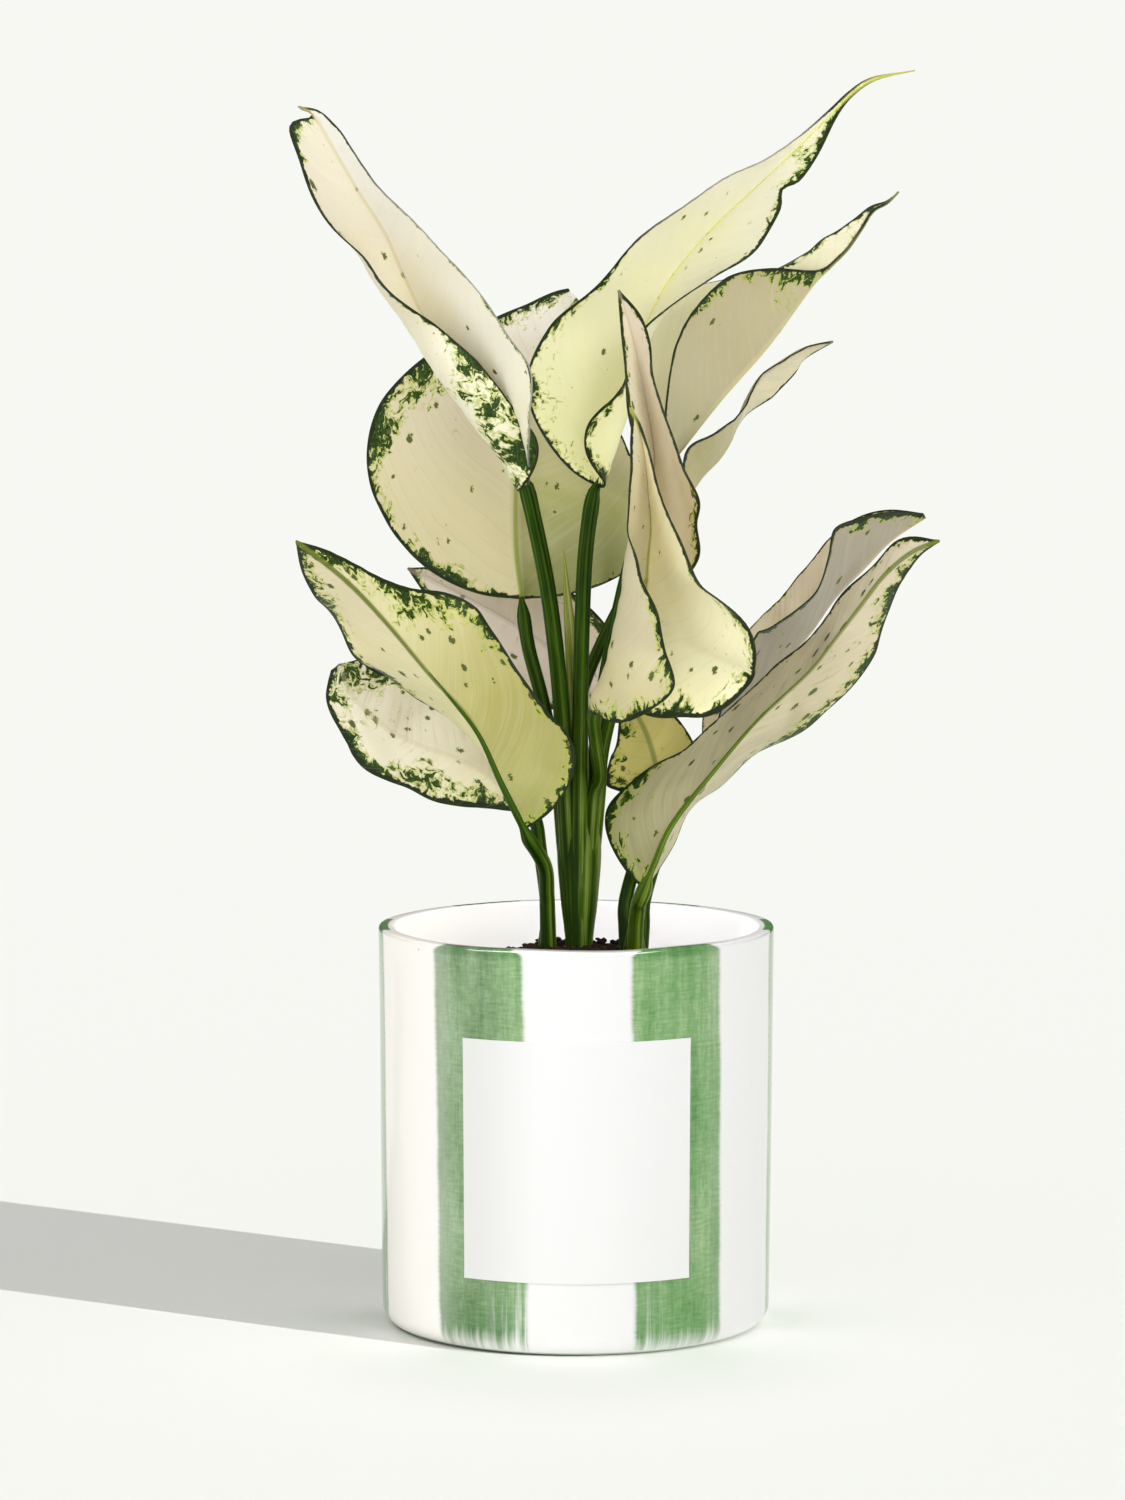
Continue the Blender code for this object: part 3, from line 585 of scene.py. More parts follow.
def makeLeafMaterial(name, leaf):
    # waxy living leaf: a soft broad sheen, cream where it lacks chlorophyll, green in islands by the margin
    material, add = newMaterial(name + " waxy variegated leaf", {
        "Roughness": 0.45, "IOR": 1.45, "Specular IOR Level": 0.25, "Subsurface Weight": 0.15,
        "Subsurface Radius": (1.0, 0.9, 0.4), "Subsurface Scale": 0.002})
    shift = (0.0, 0.0, leaf["seed"])
    flat = add("VectorMath MULTIPLY_ADD", (add("UVMap UVMap"), (plant["uvSpan"],) * 3, shift))
    side = add("SeparateXYZ", (flat,))
    edge, green, line, vein = [add("Attribute " + key, out="Fac")
                               for key in ("edge", "green", "line", "vein")]
    # vein stays the same along a side vein, so marks stretched across it lie along the veins
    veined = add("CombineXYZ", (vein, side, leaf["seed"]))
    marks = {}
    for mark, (size, stretch, detail, bend) in plant["marks"].items():
        laid = veined if mark == "streak" else flat
        spot = add("Mapping", {"Vector": laid, "Scale": (1 / size, 1 / size / stretch, 1.0)})
        marks[mark] = add("TexNoise", {"Vector": spot, "Scale": 1.0, "Detail": detail, "Roughness": 0.62,
                                       "Distortion": bend})
    # how green: most at the margin, least past the inner end of the band, broken up by the blotches
    span = plant["spans"]
    band = add("Math DIVIDE", (edge, add("Math MAXIMUM", (green, plant["leastBand"]))))
    amount = add("MapRange", (band, *span["band"]))
    for mark, share in plant["mottle"].items():
        amount = add("Math MULTIPLY_ADD", (marks[mark], share, amount))
    mottle = add("MapRange SMOOTHSTEP", (amount, *span["mottle"]))
    halo = add("MapRange SMOOTHSTEP", (amount, *span["halo"]))
    dark = add("ValToRGB", (marks["grain"],), stops=plant["greens"])
    # streaks of a deeper and of a paler hue between the veins, and broad clouds of the deeper one
    streak = add("MapRange", (marks["streak"], *span["streak"], leaf.get("streakShow", 0.12)))
    broken = add("MapRange", (marks["patch"], *span["broken"]))
    streak = add("Math MULTIPLY", (streak, broken))
    pale = add("MapRange", (marks["streak"], *span["pale"]))
    cloud = add("MapRange", (marks["cloud"], *span["cloud"]))
    # flecks: one to a cell at most, of uneven size, longer along the veins
    spot = add("Mapping", {"Vector": flat, "Scale": plant["cell"], "Location": (3.0, 5.0, 0.0)})
    cells = add("TexVoronoi", {"Vector": spot, "Scale": 1.0}).node.outputs
    chance = add("SeparateXYZ", (cells["Color"],))
    many = leaf["flecks"]
    small, big = plant["fleckSizes"]
    size = add("MapRange", (chance, 1.0 - 0.4 * many, 1.0, small, big + 0.08 * many))
    ragged = add("Math MULTIPLY_ADD", (marks["grain"], plant["ragged"], cells["Distance"]))
    inside = add("Math SUBTRACT", (size, ragged))
    fleckHalo = add("MapRange SMOOTHSTEP", (inside, *span["fleckHalo"]))
    fleck = add("MapRange SMOOTHSTEP", (inside, *span["fleck"]))
    # the margin itself is a dark line, and where it is thin it is only a grey one
    width = add("MapRange", (marks["blotch"], *span["width"]))
    past = add("Math SUBTRACT", (edge, add("Math MULTIPLY", (line, width))))
    rim = add("MapRange SMOOTHSTEP", (past, *span["rim"]))
    rimHue = add("ValToRGB", (line,), stops=plant["rims"])
    # the midrib shows as a fine yellow green line, and side veins as faint ones
    away = add("Math ABSOLUTE", (side,))
    rib = add("MapRange SMOOTHSTEP", (away, *span["rib"], leaf["ribShow"], 0.0))
    wander = add("Math MULTIPLY_ADD", (marks["cloud"], plant["wander"], vein))
    wander = add("Math DIVIDE", (wander, plant["veinGap"]))
    groove = add("MapRange SMOOTHSTEP", (add("Math PINGPONG", (wander, 0.5)), *span["groove"]))
    faint = add("MapRange", (groove, *span["faint"]))
    # each half's own hues, with painted shade in them where the half lies in shade
    colour = add("Attribute tint", out="Color")
    for share, hue in ((streak, leaf["streak"]), (pale, plant["pale"]), (cloud, leaf["streak"]),
                       (halo, plant["halo"]), (fleckHalo, plant["fleckHalo"]), (fleck, plant["fleck"]),
                       (mottle, dark), (rim, rimHue), (rib, leaf["ribColour"]), (faint, leaf["ribColour"])):
        colour = add("Mix RGBA", {0: share, 6: colour, 7: hue}, 2)
    relief = add("Math MULTIPLY_ADD", (groove, plant["grooveHigh"], marks["grain"]))
    relief = add("Math MULTIPLY_ADD", (marks["patch"], plant["patchHigh"], relief))
    shine = add("MapRange", (marks["grain"], *span["shine"]))
    feedShader(material, colour, relief, strength=0.22, depth=0.2, roughness=shine)
    return material


def makeBlade(name, leaf):
    # a grid whose middle line follows the spine and whose halves are walked out from it
    rows, across = plant["rows"], plant["across"]
    places = [(k / rows) ** plant["crowding"] for k in range(rows + 1)]
    points, length = evenly(leaf["spine"], places)
    along = directions(points)
    shape = (rows + 1, 2 * across + 1)
    co, flat, tint = np.zeros((*shape, 3)), np.zeros((*shape, 2)), np.ones((*shape, 4))
    field = {key: np.zeros(shape) for key in ("green", "line")}
    for k, point in enumerate(points):
        t = places[k]
        end = rounding(t, leaf.get("reach", 0.22))
        front = frontOf(along[k])
        co[k, across] = point
        flat[k, across] = (0.0, t * length)
        for sign, half in ((-1, leaf["left"]), (1, leaf["right"])):
            place, depth, spread = half.get("notch", (0.0, 0.0, 1.0))
            dip = 1.0 - depth * math.exp(-((t - place) / spread) ** 2)
            width = max(max(through(half["width"], t), 0.0) * end * dip, mix(*plant["leastWidth"], t))
            lean = math.radians(through(half.get("sweep", [0]), t))
            outward = along[k].cross(front) * sign * math.cos(lean) + along[k] * math.sin(lean)
            here = point.copy()
            for j in range(across):
                angle = math.radians(through(half["angle"], t)
                                     + through(half.get("curl", [0]), t) * end * (j + 0.5) / across)
                here = here + (outward * math.cos(angle) + front * math.sin(angle)) * (width / across)
                i = across + sign * (j + 1)
                co[k, i] = here
                flat[k, i] = (sign * width * (j + 1) / across, t * length)
                tint[k, i] = hueAndShadeAlong(half["tint"], t)
                for key in field:
                    field[key][k, i] = max(through(half[key], t), 0.0)
        for values in (*field.values(), tint):
            values[k, across] = (values[k, across - 1] + values[k, across + 1]) / 2
    away, run = np.abs(flat[..., 0]), flat[..., 1]
    outer = np.maximum(away.max(axis=1, keepdims=True), 1e-6)
    # side veins leave the midrib at a slant and turn along the margin
    share = away / outer
    field["vein"] = run - away * plant["veinLean"] - outer * plant["veinTurn"] * share ** 4
    # waves at the margin and a shallow swell between the side veins
    normal = np.cross(np.gradient(co, axis=1), np.gradient(co, axis=0))
    normal /= np.maximum(np.linalg.norm(normal, axis=2, keepdims=True), 1e-9)
    phase = np.where(flat[..., 0] < 0, 0.0, plant["waveShift"]) + leaf["seed"]
    waves = leaf["wave"] * share ** 2.5 * np.sin(run * 2 * math.pi / plant["waveGap"] + phase)
    swell = plant["swell"] * np.cos(field["vein"] * 2 * math.pi / plant["veinGap"])
    swell *= np.clip(away / plant["swellRoom"], 0, 1) * np.clip((outer - away) / plant["swellRoom"], 0, 1)
    co += normal * (waves * np.clip(outer / plant["waveRoom"], 0, 1) - swell)[..., None]
    piece = startPiece(name, bpy.ops.mesh.primitive_grid_add, x_subdivisions=2 * across, y_subdivisions=rows,
                       size=1)
    mesh = piece.data
    mesh.vertices.foreach_set("co", (co.reshape(-1) * mm).astype(np.float32))
    outline = np.concatenate([flat[::-1, 0], flat[:, -1]])
    field["edge"] = marginDistance(flat.reshape(-1, 2), outline)
    for key, values in (*field.items(), ("tint", tint)):
        kind, use = ("FLOAT_COLOR", "color") if key == "tint" else ("FLOAT", "value")
        store = mesh.attributes.new(key, kind, "POINT")
        store.data.foreach_set(use, values.reshape(-1).astype(np.float32))
    corners = np.zeros(len(mesh.loops), np.int32)
    mesh.loops.foreach_get("vertex_index", corners)
    laidFlat = flat.reshape(-1, 2)[corners] / plant["uvSpan"]
    mesh.uv_layers.active.data.foreach_set("uv", laidFlat.reshape(-1).astype(np.float32))
    mesh.update()
    # thick along the midrib, thin at the margin
    group = piece.vertex_groups.new(name="midrib")
    thin = plant["bladeThick"] / plant["ribThick"]
    ribbed = np.exp(-(away / plant["ribHalf"]) ** 2) * (1 - plant["ribFall"] * run / length)
    for index, value in enumerate((thin + (1 - thin) * ribbed).reshape(-1)):
        group.add([index], float(value), "REPLACE")
    addThickness(piece, plant["ribThick"], offset=0.0).vertex_group = "midrib"
    applyModifiers(piece)
    finishPiece(piece, makeLeafMaterial(name, leaf), "cream_leaf", "leaf_" + name)
    return points, along


# stalks: dark, middle and pale hues of each skin; the heights and the distances off the middle, in
# millimetres, between which a petiole turns into its sheath
skins = {
    "green": {"name": "smooth dark green petiole skin", "hues": ("132a02", "264002", "44620f")},
    "olive": {"name": "smooth olive petiole skin", "hues": ("2f4508", "4a6310", "74882f")},
    "sheath": {"name": "ribbed green leaf sheath", "hues": ("1a3003", "354f05", "718436")},
    "bud": {"name": "rolled young leaf skin", "hues": ("56641c", "87903a", "bfc376")},
}
stalk = {"tones": (0.45, 0.56, 0.72), "ribSize": (2.6, 2.6, 0.07), "cloudSize": (0.8, 0.8, 0.5),
         "cloudShade": (0.3, -0.1), "sheathUp": (235, 170), "sheathOff": (13, 9)}


def makeStalkSkin(skin):
    # fleshy stalk skin: satin, with fine lengthwise ribs that catch the light
    material, add = newMaterial(skin["name"], {"Roughness": 0.4, "IOR": 1.42, "Specular IOR Level": 0.12})
    # round holds a point's place round the stalk in x and y, and its run in centimetres in z
    place = add("Attribute round", out="Vector")
    spot = add("Mapping", {"Vector": place, "Scale": stalk["ribSize"]})
    ribs = add("TexNoise", {"Vector": spot, "Scale": 1.0, "Detail": 3.0, "Roughness": 0.6})
    spot = add("Mapping", {"Vector": place, "Scale": stalk["cloudSize"]})
    clouds = add("TexNoise", {"Vector": spot, "Scale": 1.0, "Detail": 2.0})
    shade = add("Math MULTIPLY_ADD", (clouds, *stalk["cloudShade"]))
    shade = add("Math ADD", (ribs, shade))
    colour, sheathed = [add("ValToRGB", (shade,), stops=zip(stalk["tones"], hues))
                        for hues in (skin["hues"], skins["sheath"]["hues"])]
    # low down in the bundle a petiole widens into its sheath and takes the sheath's hues
    place = add("VectorMath SCALE", {0: add("TexCoord", out="Object"), "Scale": 1 / mm})
    x, y, up = add("SeparateXYZ", (place,)).node.outputs
    low = add("MapRange SMOOTHSTEP", (up, *stalk["sheathUp"]))
    off = add("MapRange", (add("Math ABSOLUTE", (x,)), *stalk["sheathOff"]))
    low = add("Math MULTIPLY", (low, off))
    fade = add("Attribute fade", out="Fac")
    for share, hue in ((low, sheathed), (fade, skin["hues"][-1])):
        colour = add("Mix RGBA", {0: share, 6: colour, 7: hue}, 2)
    feedShader(material, colour, ribs, strength=0.3, depth=0.3)
    return material


for skin in skins.values():
    skin["material"] = makeStalkSkin(skin)


def makeStalk(name, node, path, radii, skin, steps, sides=16, slotName="stem", fade=(0.0,)):
    # a cylinder cut into rings that are then set along a smooth path; fade is its share of the pale hue
    points, length = evenly(path, [k / steps for k in range(steps + 1)])
    along = directions(points)
    piece = startPiece(name, bpy.ops.mesh.primitive_cylinder_add, vertices=sides, radius=1, depth=1,
                       end_fill_type="NGON")
    selectOnly(piece, "EDGE", lambda edge: abs(edge.verts[0].co.z - edge.verts[1].co.z) > 0.5)
    bpy.ops.mesh.subdivide(number_cuts=steps - 1)
    bpy.ops.object.mode_set(mode="OBJECT")
    mesh = piece.data
    for key, kind in (("round", "FLOAT_VECTOR"), ("fade", "FLOAT")):
        mesh.attributes.new(key, kind, "POINT")
    roundStore, fadeStore = mesh.attributes["round"].data, mesh.attributes["fade"].data
    for v in mesh.vertices:
        t = clamp(v.co.z + 0.5)
        k = round(t * steps)
        front = frontOf(along[k])
        across = along[k].cross(front)
        x, y = v.co.x, v.co.y
        radius = through(radii, t)
        roundStore[v.index].vector = (x, y, t * length / 10)
        fadeStore[v.index].value = clamp(through(fade, t))
        v.co = (points[k] + across * x * radius - front * y * radius) * mm
    faceOutwards(piece)
    finishPiece(piece, skins[skin]["material"], slotName, node)


def makeLeaf(name, leaf):
    points, along = makeBlade(name + "_blade", leaf)
    # the petiole runs on up the back of the blade as its midrib and thins out there
    path = [Vector(p) for p in leaf["petiole"]] + [points[0] + along[0] * far for far in plant["jointReach"]]
    ribPath = path + [points[int(plant["rows"] * place)] for place in plant["ribPlaces"]]
    joint = evenly(path, [1.0])[1] / evenly(ribPath, [1.0])[1]
    taper = [leaf["radius"] * share for share in plant["petioleTaper"]]
    radii, fade, samples = [], [], 30
    for t in [k / samples for k in range(samples + 1)]:
        past = (t - joint) / (1 - joint)
        radii.append(through(taper, t / joint) if past <= 0 else mix(leaf["rib"], plant["ribTip"], past))
        fade.append(min(leaf.get("ribFade", 1.0), max(past, 0.0) * 3))
    makeStalk(name + "_petiole", "leaf_" + name + "_petiole", ribPath, radii, leaf.get("skin", "green"),
              plant["petioleSteps"], fade=fade)


# each leaf, from base to tip: its spine, its petiole from the soil up, the radii of petiole and rib; for each
# half its widths, the angle at which it leaves the midrib, the curl on its way out, the sweep that turns it
# along the spine, a notch (place, depth, spread), its hues, which hold its own colour and also painted shade,
# darker and more olive where the half lies in shade, and the widths of its green band and dark line
leaves = {
    "upper_left": {
        "rib": 0.6, "seed": 1.3, "flecks": 0.45, "wave": 0.6, "streak": "e6dcae", "ribColour": "c9bf8a",
        "ribShow": 0.5, "radius": 2.9,
        "spine": [(-18, -26, 293), (-27, -31, 312), (-39, -36, 330), (-49, -41, 346), (-58, -47, 365),
                  (-64, -52, 379), (-72, -58, 392), (-79, -63, 404), (-84, -67, 413), (-87, -69, 418),
                  (-92, -71, 421)],
        "petiole": [(1, 0, 112), (-0.6, -1.6, 140), (-2.6, -3.6, 165), (-3.8, -4.8, 184.3), (-4.4, -6, 200),
                    (-6, -10, 225), (-10, -17, 258)],
        "left": {
            "width": [30, 32, 31, 31, 30, 27, 26, 26, 24, 20, 16.5, 13, 0],
            "angle": [40, 36, 24, 22, 20, 20, 20, 18, 8, 8, 10, 5, 0],
            "curl": [240, 240, 205, 200, 192, 172, 136, 112, 104, 66, 30, 10, 0],
            "sweep": [0, 0, 0, 0, 0, 15, 40, 50], "notch": (0.968, 1, 0.028),
            "tint": ["f7f3d2", "eae4cc", "d8cfba", "dcd4c2"], "green": [26, 22, 14, 5, 2, 1, 3, 6],
            "line": [1.2, 1, 0.9, 1, 1.2, 1.3, 1.4, 1.2]},
        "right": {
            "width": [20, 22, 30, 33, 31, 29.5, 25.5, 20, 12.5, 8, 6.2, 4.8, 0],
            "angle": [70, 62, 54, 40, 36, 36, 38, 38, 36, 32, 24, 12, 0],
            "curl": [20, 20, 20, 10, 0, 0, 0, 0], "tint": ["f8f4d8", "f3eddc", "e0dcd0", "dad7d0"],
            "green": [2, 1, 0], "line": [0.6, 0.3, 0.2, 0.2, 0.3, 0.6, 0.8]}},
    "upper_right": {
        "rib": 0.6, "seed": 2.7, "flecks": 0.5, "wave": 0.8, "streak": "e8e6b0", "ribColour": "dfe06a",
        "ribShow": 0.6, "radius": 2.8,
        "spine": [(7, -8, 292), (15, -6, 314), (21, -3, 337), (30, 0, 359), (45, 4, 378), (62, 9, 394),
                  (77, 14, 408), (87, 17, 418), (95, 19, 426), (103, 20, 431), (117, 20, 434)],
        "petiole": [(1, 0, 112), (1, -2.6, 140), (1, -5.2, 165), (1, -6.8, 184.3), (1.2, -7.4, 210),
                    (1.8, -8.6, 240), (3, -9.2, 268)],
        "left": {
            "width": [34, 38, 36.5, 32, 25, 23.5, 20, 15, 8, 3.5, 1.6, 1, 0],
            "angle": [0, 0, 10, 35, 45, 45, 40, 20, 0], "curl": [10, 10, 10, 10, 10, 10, 0, 0],
            "tint": ["fffec2", "e1debf", "dedbc6", "e6e3d8"], "green": [5.5, 5.5, 3, 0.5, 0, 0, 0, 0],
            "line": [1.2, 1.2, 1, 0.6, 0.3, 0.3, 0.8, 1.2]},
        "right": {
            "width": [44, 34, 27, 27, 27, 28.5, 25.5, 19.5, 12.5, 8, 2, 0.8, 0],
            "angle": [55, 63, 69, 72, 63, 55, 50, 47, 44, 40, 27, 13, 0],
            "curl": [220, 140, 60, 48, 41, 26, 10, 2, 0, 0, 0, 0, 0], "notch": (0.652, 0.3, 0.02),
            "tint": ["fffec0", "dfdbbd", "dedac4", "e5e2d6"], "green": [4, 3, 1, 1, 3, 4, 2, 0],
            "line": [1.3, 1.2, 1, 1.2, 1.4, 1.4, 1.2, 1.2]}},
    "center": {
        "rib": 0.5, "seed": 4.1, "flecks": 0.35, "wave": 0.4, "streak": "cbbfa4", "ribColour": "c9bd97",
        "ribShow": 0.4, "radius": 2.4,
        "spine": [(22, -22, 253), (25, -33, 281), (26, -40, 304), (23, -44, 324), (19, -46, 343),
                  (14, -48, 360)],
        "petiole": [(1, 0, 112), (3, 0, 140), (6, 0, 165), (7.8, 0, 184.3), (9, -2, 200), (14, -8, 222),
                    (19, -14, 240)],
        "left": {
            "width": [16, 18, 20, 20, 20, 19, 18, 16.5, 15.5, 12, 7.6, 3.5, 0],
            "angle": [60, 70, 72, 68, 60, 40], "tint": ["dcd3b6", "dad2b9"], "green": [2, 2, 2, 3, 3, 1],
            "line": [1.3]},
        "right": {
            "width": [14, 19, 23, 26, 23, 26, 21, 16.5, 14, 10.5, 8.5, 5.8, 0],
            "angle": [60, 61, 57, 50, 48, 54, 65, 68, 69, 68, 54, 40, 30],
            "tint": ["ded0b2", "dccfb8", "dccfbc"], "green": [1, 5, 6, 3, 1, 1, 1, 3, 1], "line": [1.2]}},
    "right": {
        "rib": 0.4, "seed": 5.9, "flecks": 0.4, "wave": 0.5, "streak": "bdb88a", "ribColour": "b5ad72",
        "ribShow": 0.5, "radius": 2.4,
        "spine": [(34, 20, 300), (50, 24, 320), (67, 29, 339), (82, 34, 359), (89, 36, 366), (95, 38, 372),
                  (100, 40, 379), (104, 42, 385), (109, 43, 388), (113, 44, 392)],
        "petiole": [(1, 0, 112), (2.6, 1.8, 140), (4.6, 3.8, 165), (5.8, 4.8, 184.3), (7.5, 7, 208),
                    (13, 11, 240), (21, 15, 272)],
        "left": {
            "width": [28, 32, 34.5, 34.5, 33, 31, 27.5, 18, 3, 1, 1, 1.5, 0],
            "angle": [50, 40, 20, 15, 40, 60, 80], "curl": [20, 20, 20, 20, 0, 0, 0],
            "tint": ["bab594", "b3aa88", "b9ae92", "c9c0a4"], "green": [1, 1, 1, 6, 9, 3, 2, 2],
            "line": [1, 1, 0.9, 0.9, 1.2, 1.3, 1.3]},
        "right": {
            "width": [30, 35, 39, 40, 41, 39, 30, 16.5, 10, 9, 5.5, 2, 0],
            "angle": [-150, -145, -150, -155, -170, -180, -190], "tint": ["e3ddb2", "e6e0bc", "e9e3cc"],
            "green": [0, 0, 0, 1, 2, 2], "line": [0.4, 0.4, 0.4, 0.8, 1.2]}},
    "right_ribbon": {
        "rib": 0.4, "seed": 7.4, "flecks": 0.3, "wave": 0.5, "streak": "bdb48c", "ribColour": "b5ad72",
        "ribShow": 0.4, "radius": 2.2,
        "spine": [(39, 31, 286), (44, 34, 293), (50, 37, 299), (54, 40, 305), (57, 43, 312), (60, 46, 319),
                  (65, 49, 327), (72, 52, 332), (81, 56, 337), (91, 62, 339)],
        "petiole": [(1, 0, 112), (-0.6, 1.8, 140), (-2.6, 3.6, 165), (-3.8, 4.8, 184.3), (-1.5, 8.5, 202),
                    (3, 14, 222), (14, 21, 246), (26, 27, 266)],
        "left": {
            "width": [22, 27, 23, 22, 20, 18, 14, 10, 8, 6, 5, 3, 0],
            "angle": [58, 60, 66, 76, 84, 88, 88, 88, 88, 88, 88, 85, 80],
            "tint": ["b9b384", "c4bc92", "cfc6a2"], "green": [1], "line": [1.3]},
        "right": {
            "width": [18, 20, 20, 19, 18, 17, 16, 15, 15.5, 13, 11, 7.5, 0],
            "angle": [-92, -92, -92, -90, -89, -87, -78, -62, -55, -55, -55, -58, -60],
            "tint": ["dcd4b4", "dad2b2"], "green": [1], "line": [1.3]}},
    "broad_back": {
        "rib": 0.7, "seed": 9.2, "flecks": 0.9, "wave": 0.5, "streak": "d5cb97", "ribColour": "8f9a3a",
        "ribShow": 0.85, "reach": 0.3, "radius": 2.5,
        "spine": [(-19, 10, 252), (-21, 18, 270), (-21, 28, 290), (-19, 40, 310), (-14, 52, 330),
                  (-6, 63, 346), (1, 72, 353)],
        "petiole": [(1, 0, 112), (-1.4, 0, 140), (-4.2, 0, 165), (-5.8, 0, 184.3), (-7, 0.5, 195),
                    (-12, 2.5, 218), (-16.5, 4.5, 235)],
        "left": {
            "width": [36, 40, 45, 48, 51.5, 53, 52, 48, 40.5, 28.5, 19, 10.5, 6],
            "angle": [5, 5, 0, -5, -10, -10, 0], "curl": [5],
            "tint": ["ddd3aa", "d8cea7", "d4caa6", "d5cbad", "d8ceb6", "f2eadb", "fdf8ee"],
            "green": [5, 4, 5, 9, 11, 7, 2], "line": [1.5, 1.3, 1.4, 1.8, 1.6, 1.4]},
        "right": {
            "width": [66, 60, 56, 53, 52, 51, 48, 42, 34, 24, 14, 6.5, 0],
            "angle": [-20, -20, -22, -25, -20, 0, 0], "curl": [5],
            # painted shadow: the dark olive near the base of this half stands for the shade that the leaves
            # in front cast on it
            "tint": ["7e8446", "8f9260", "a2a46a", "c2be94", "e4dac4", "f6eee0", "fdf8ee"],
            "green": [1, 1, 1, 1, 2, 3, 1.5], "line": [0.8, 0.7, 0.8, 1, 1.3]}},
    "lower_left_front": {
        "rib": 1.4, "ribFade": 0.4, "seed": 11.6, "flecks": 1.1, "wave": 0.9, "streak": "cbc788",
        "ribColour": "66701f", "ribShow": 0.95, "radius": 2.7,
        "spine": [(-18, -22, 175), (-27, -31, 194.5), (-36, -40, 214), (-49, -50, 230), (-63, -60, 248),
                  (-77, -70, 264), (-93, -80, 278)],
        "petiole": [(-8.5, 0, 112), (-9.6, -1.6, 130), (-10, -3, 143.3), (-10.2, -4.5, 150),
                    (-11, -11.5, 161)],
        "left": {
            "width": [22, 26, 29, 30, 30.5, 30.5, 30.5, 29, 26.5, 23, 17, 10.5, 0],
            "angle": [-88, -87, -85, -73, -69, -66, -60, -54, -55, -55, -50, -45, -45],
            "tint": ["dad496", "e4dda8", "e2d7b0", "ddd1b2"], "green": [2, 2, 3, 4, 5, 6, 4],
            "line": [1.4, 1.4, 1.5, 1.7, 1.8]},
        "right": {
            "width": [29, 31, 29, 25, 24, 28, 30.5, 27.5, 18, 12, 8.5, 4.8, 0],
            "angle": [0, -8, -20, -35, -45, -50, -40], "tint": ["a3a362", "aaa462", "dad4a4", "e2dab8"],
            "green": [5, 5, 5, 8, 9, 6, 4], "line": [1.3, 1.4, 1.6, 2, 1.8]}},
    "lower_left_back": {
        "rib": 0.3, "seed": 13.3, "flecks": 1.3, "wave": 0.9, "streak": "a89f70", "streakShow": 0.3,
        "ribColour": "b5af84", "ribShow": 0.3, "radius": 2.5,
        "spine": [(-18, 4, 180), (-27, 11, 187), (-35, 17, 192), (-45, 22, 196), (-55, 27, 199),
                  (-65, 33, 203), (-73, 39, 209), (-80, 46, 216), (-84, 54, 225)],
        "petiole": [(-9, 1.5, 112), (-9.8, 2.6, 130), (-10, 3, 143.3), (-10.8, 3, 152), (-12.6, 2.6, 165),
                    (-13.6, 2.2, 173)],
        "left": {
            "width": [8, 9.5, 12, 15.2, 17.3, 18, 16.7, 17.3, 17.5, 15, 12.5, 9.5, 4],
            "angle": [-20, -20, -20, -20, -25, -30, -30], "curl": [15],
            "tint": ["e4dbb0", "ebe2c8", "ece3d0"], "green": [12, 11, 9, 9, 9, 9, 8],
            "line": [2.6, 2.6, 2.2, 2.2, 2.2]},
        "right": {
            "width": [20, 28, 30, 30, 27, 19, 8], "angle": [-30, -30, -30, -30, -30, -20, -20],
            "tint": ["e4dbb0", "ebe2c8", "ece3d0"], "green": [1, 1, 1, 2, 5, 9, 10],
            "line": [1.2, 1.4, 2.2]}},
    "back_left": {
        "rib": 0.5, "seed": 15.8, "flecks": 0.9, "wave": 0.6, "streak": "cdbcae", "ribColour": "b8ab94",
        "ribShow": 0.4, "radius": 2.4,
        "spine": [(8, 24, 213), (-3, 32, 227), (-17, 42, 237), (-36, 54, 247), (-60, 68, 258)],
        "petiole": [(1, 0, 112), (1, 2.4, 140), (1, 5, 165), (1, 6.8, 184.3), (4, 11, 192), (9, 17, 201)],
        "left": {
            "width": [14, 22, 22, 15, 0], "angle": [-34, -32, -30, -30, -20], "tint": ["dccfbf", "e2d6c9"],
            "green": [4, 3, 3, 3], "line": [1.4]},
        "right": {
            "width": [14, 27, 28, 18, 0], "angle": [-50, -52, -50, -50, -40], "tint": ["dccfbf", "e2d6c9"],
            "green": [9, 8, 5, 4], "line": [1.4]}},
    "lower_right_front": {
        "rib": 1.25, "ribFade": 0.15, "seed": 17.1, "flecks": 1.6, "wave": 0.7, "streak": "8a7d50",
        "streakShow": 0.3, "ribColour": "6f7a2c", "ribShow": 0.9, "skin": "olive", "radius": 2.8,
        "spine": [(23.5, -18, 154), (28.6, -19, 167), (35, -20, 180), (43, -22, 190), (51, -24, 200),
                  (60, -26, 211), (70, -29, 221), (80, -32, 231), (88, -36, 242), (96, -39, 253),
                  (104, -43, 264), (113, -47, 272), (122, -50, 276)],
        "petiole": [(18, -3, 112), (20, -6, 126), (20.5, -8.3, 138.3), (20.8, -9.5, 143), (21.4, -13, 148)],
        "left": {
            "width": [31, 35, 29.5, 27, 27, 28, 27.5, 26, 22.5, 19, 13.5, 9.5, 0],
            "angle": [-40, -42, -52, -66, -72, -75, -76, -77, -77, -74, -72, -60, -55],
            "tint": ["9a986a", "c8c09c", "d9ceb4", "dfd3bd"], "green": [7, 5, 2, 1, 1, 2, 2, 3, 3],
            "line": [1.5, 1.5, 1.6, 2, 2.4, 2.2, 1.6]},
        "right": {
            "width": [26, 29, 28.5, 30, 30.5, 31, 30.5, 29.5, 26, 19.5, 11.5, 6, 0],
            "angle": [-82, -78, -79, -76, -71, -62, -58, -55, -54, -53, -51, -50, -50],
            "tint": ["c6c08e", "cec4a0", "d3c7a8", "d8ccb2"], "green": [1, 1, 2, 4, 6, 9, 9, 6, 4],
            "line": [0.8, 0.8, 0.8, 1, 1.6, 1.6, 1.4]}},
    "lower_right_back": {
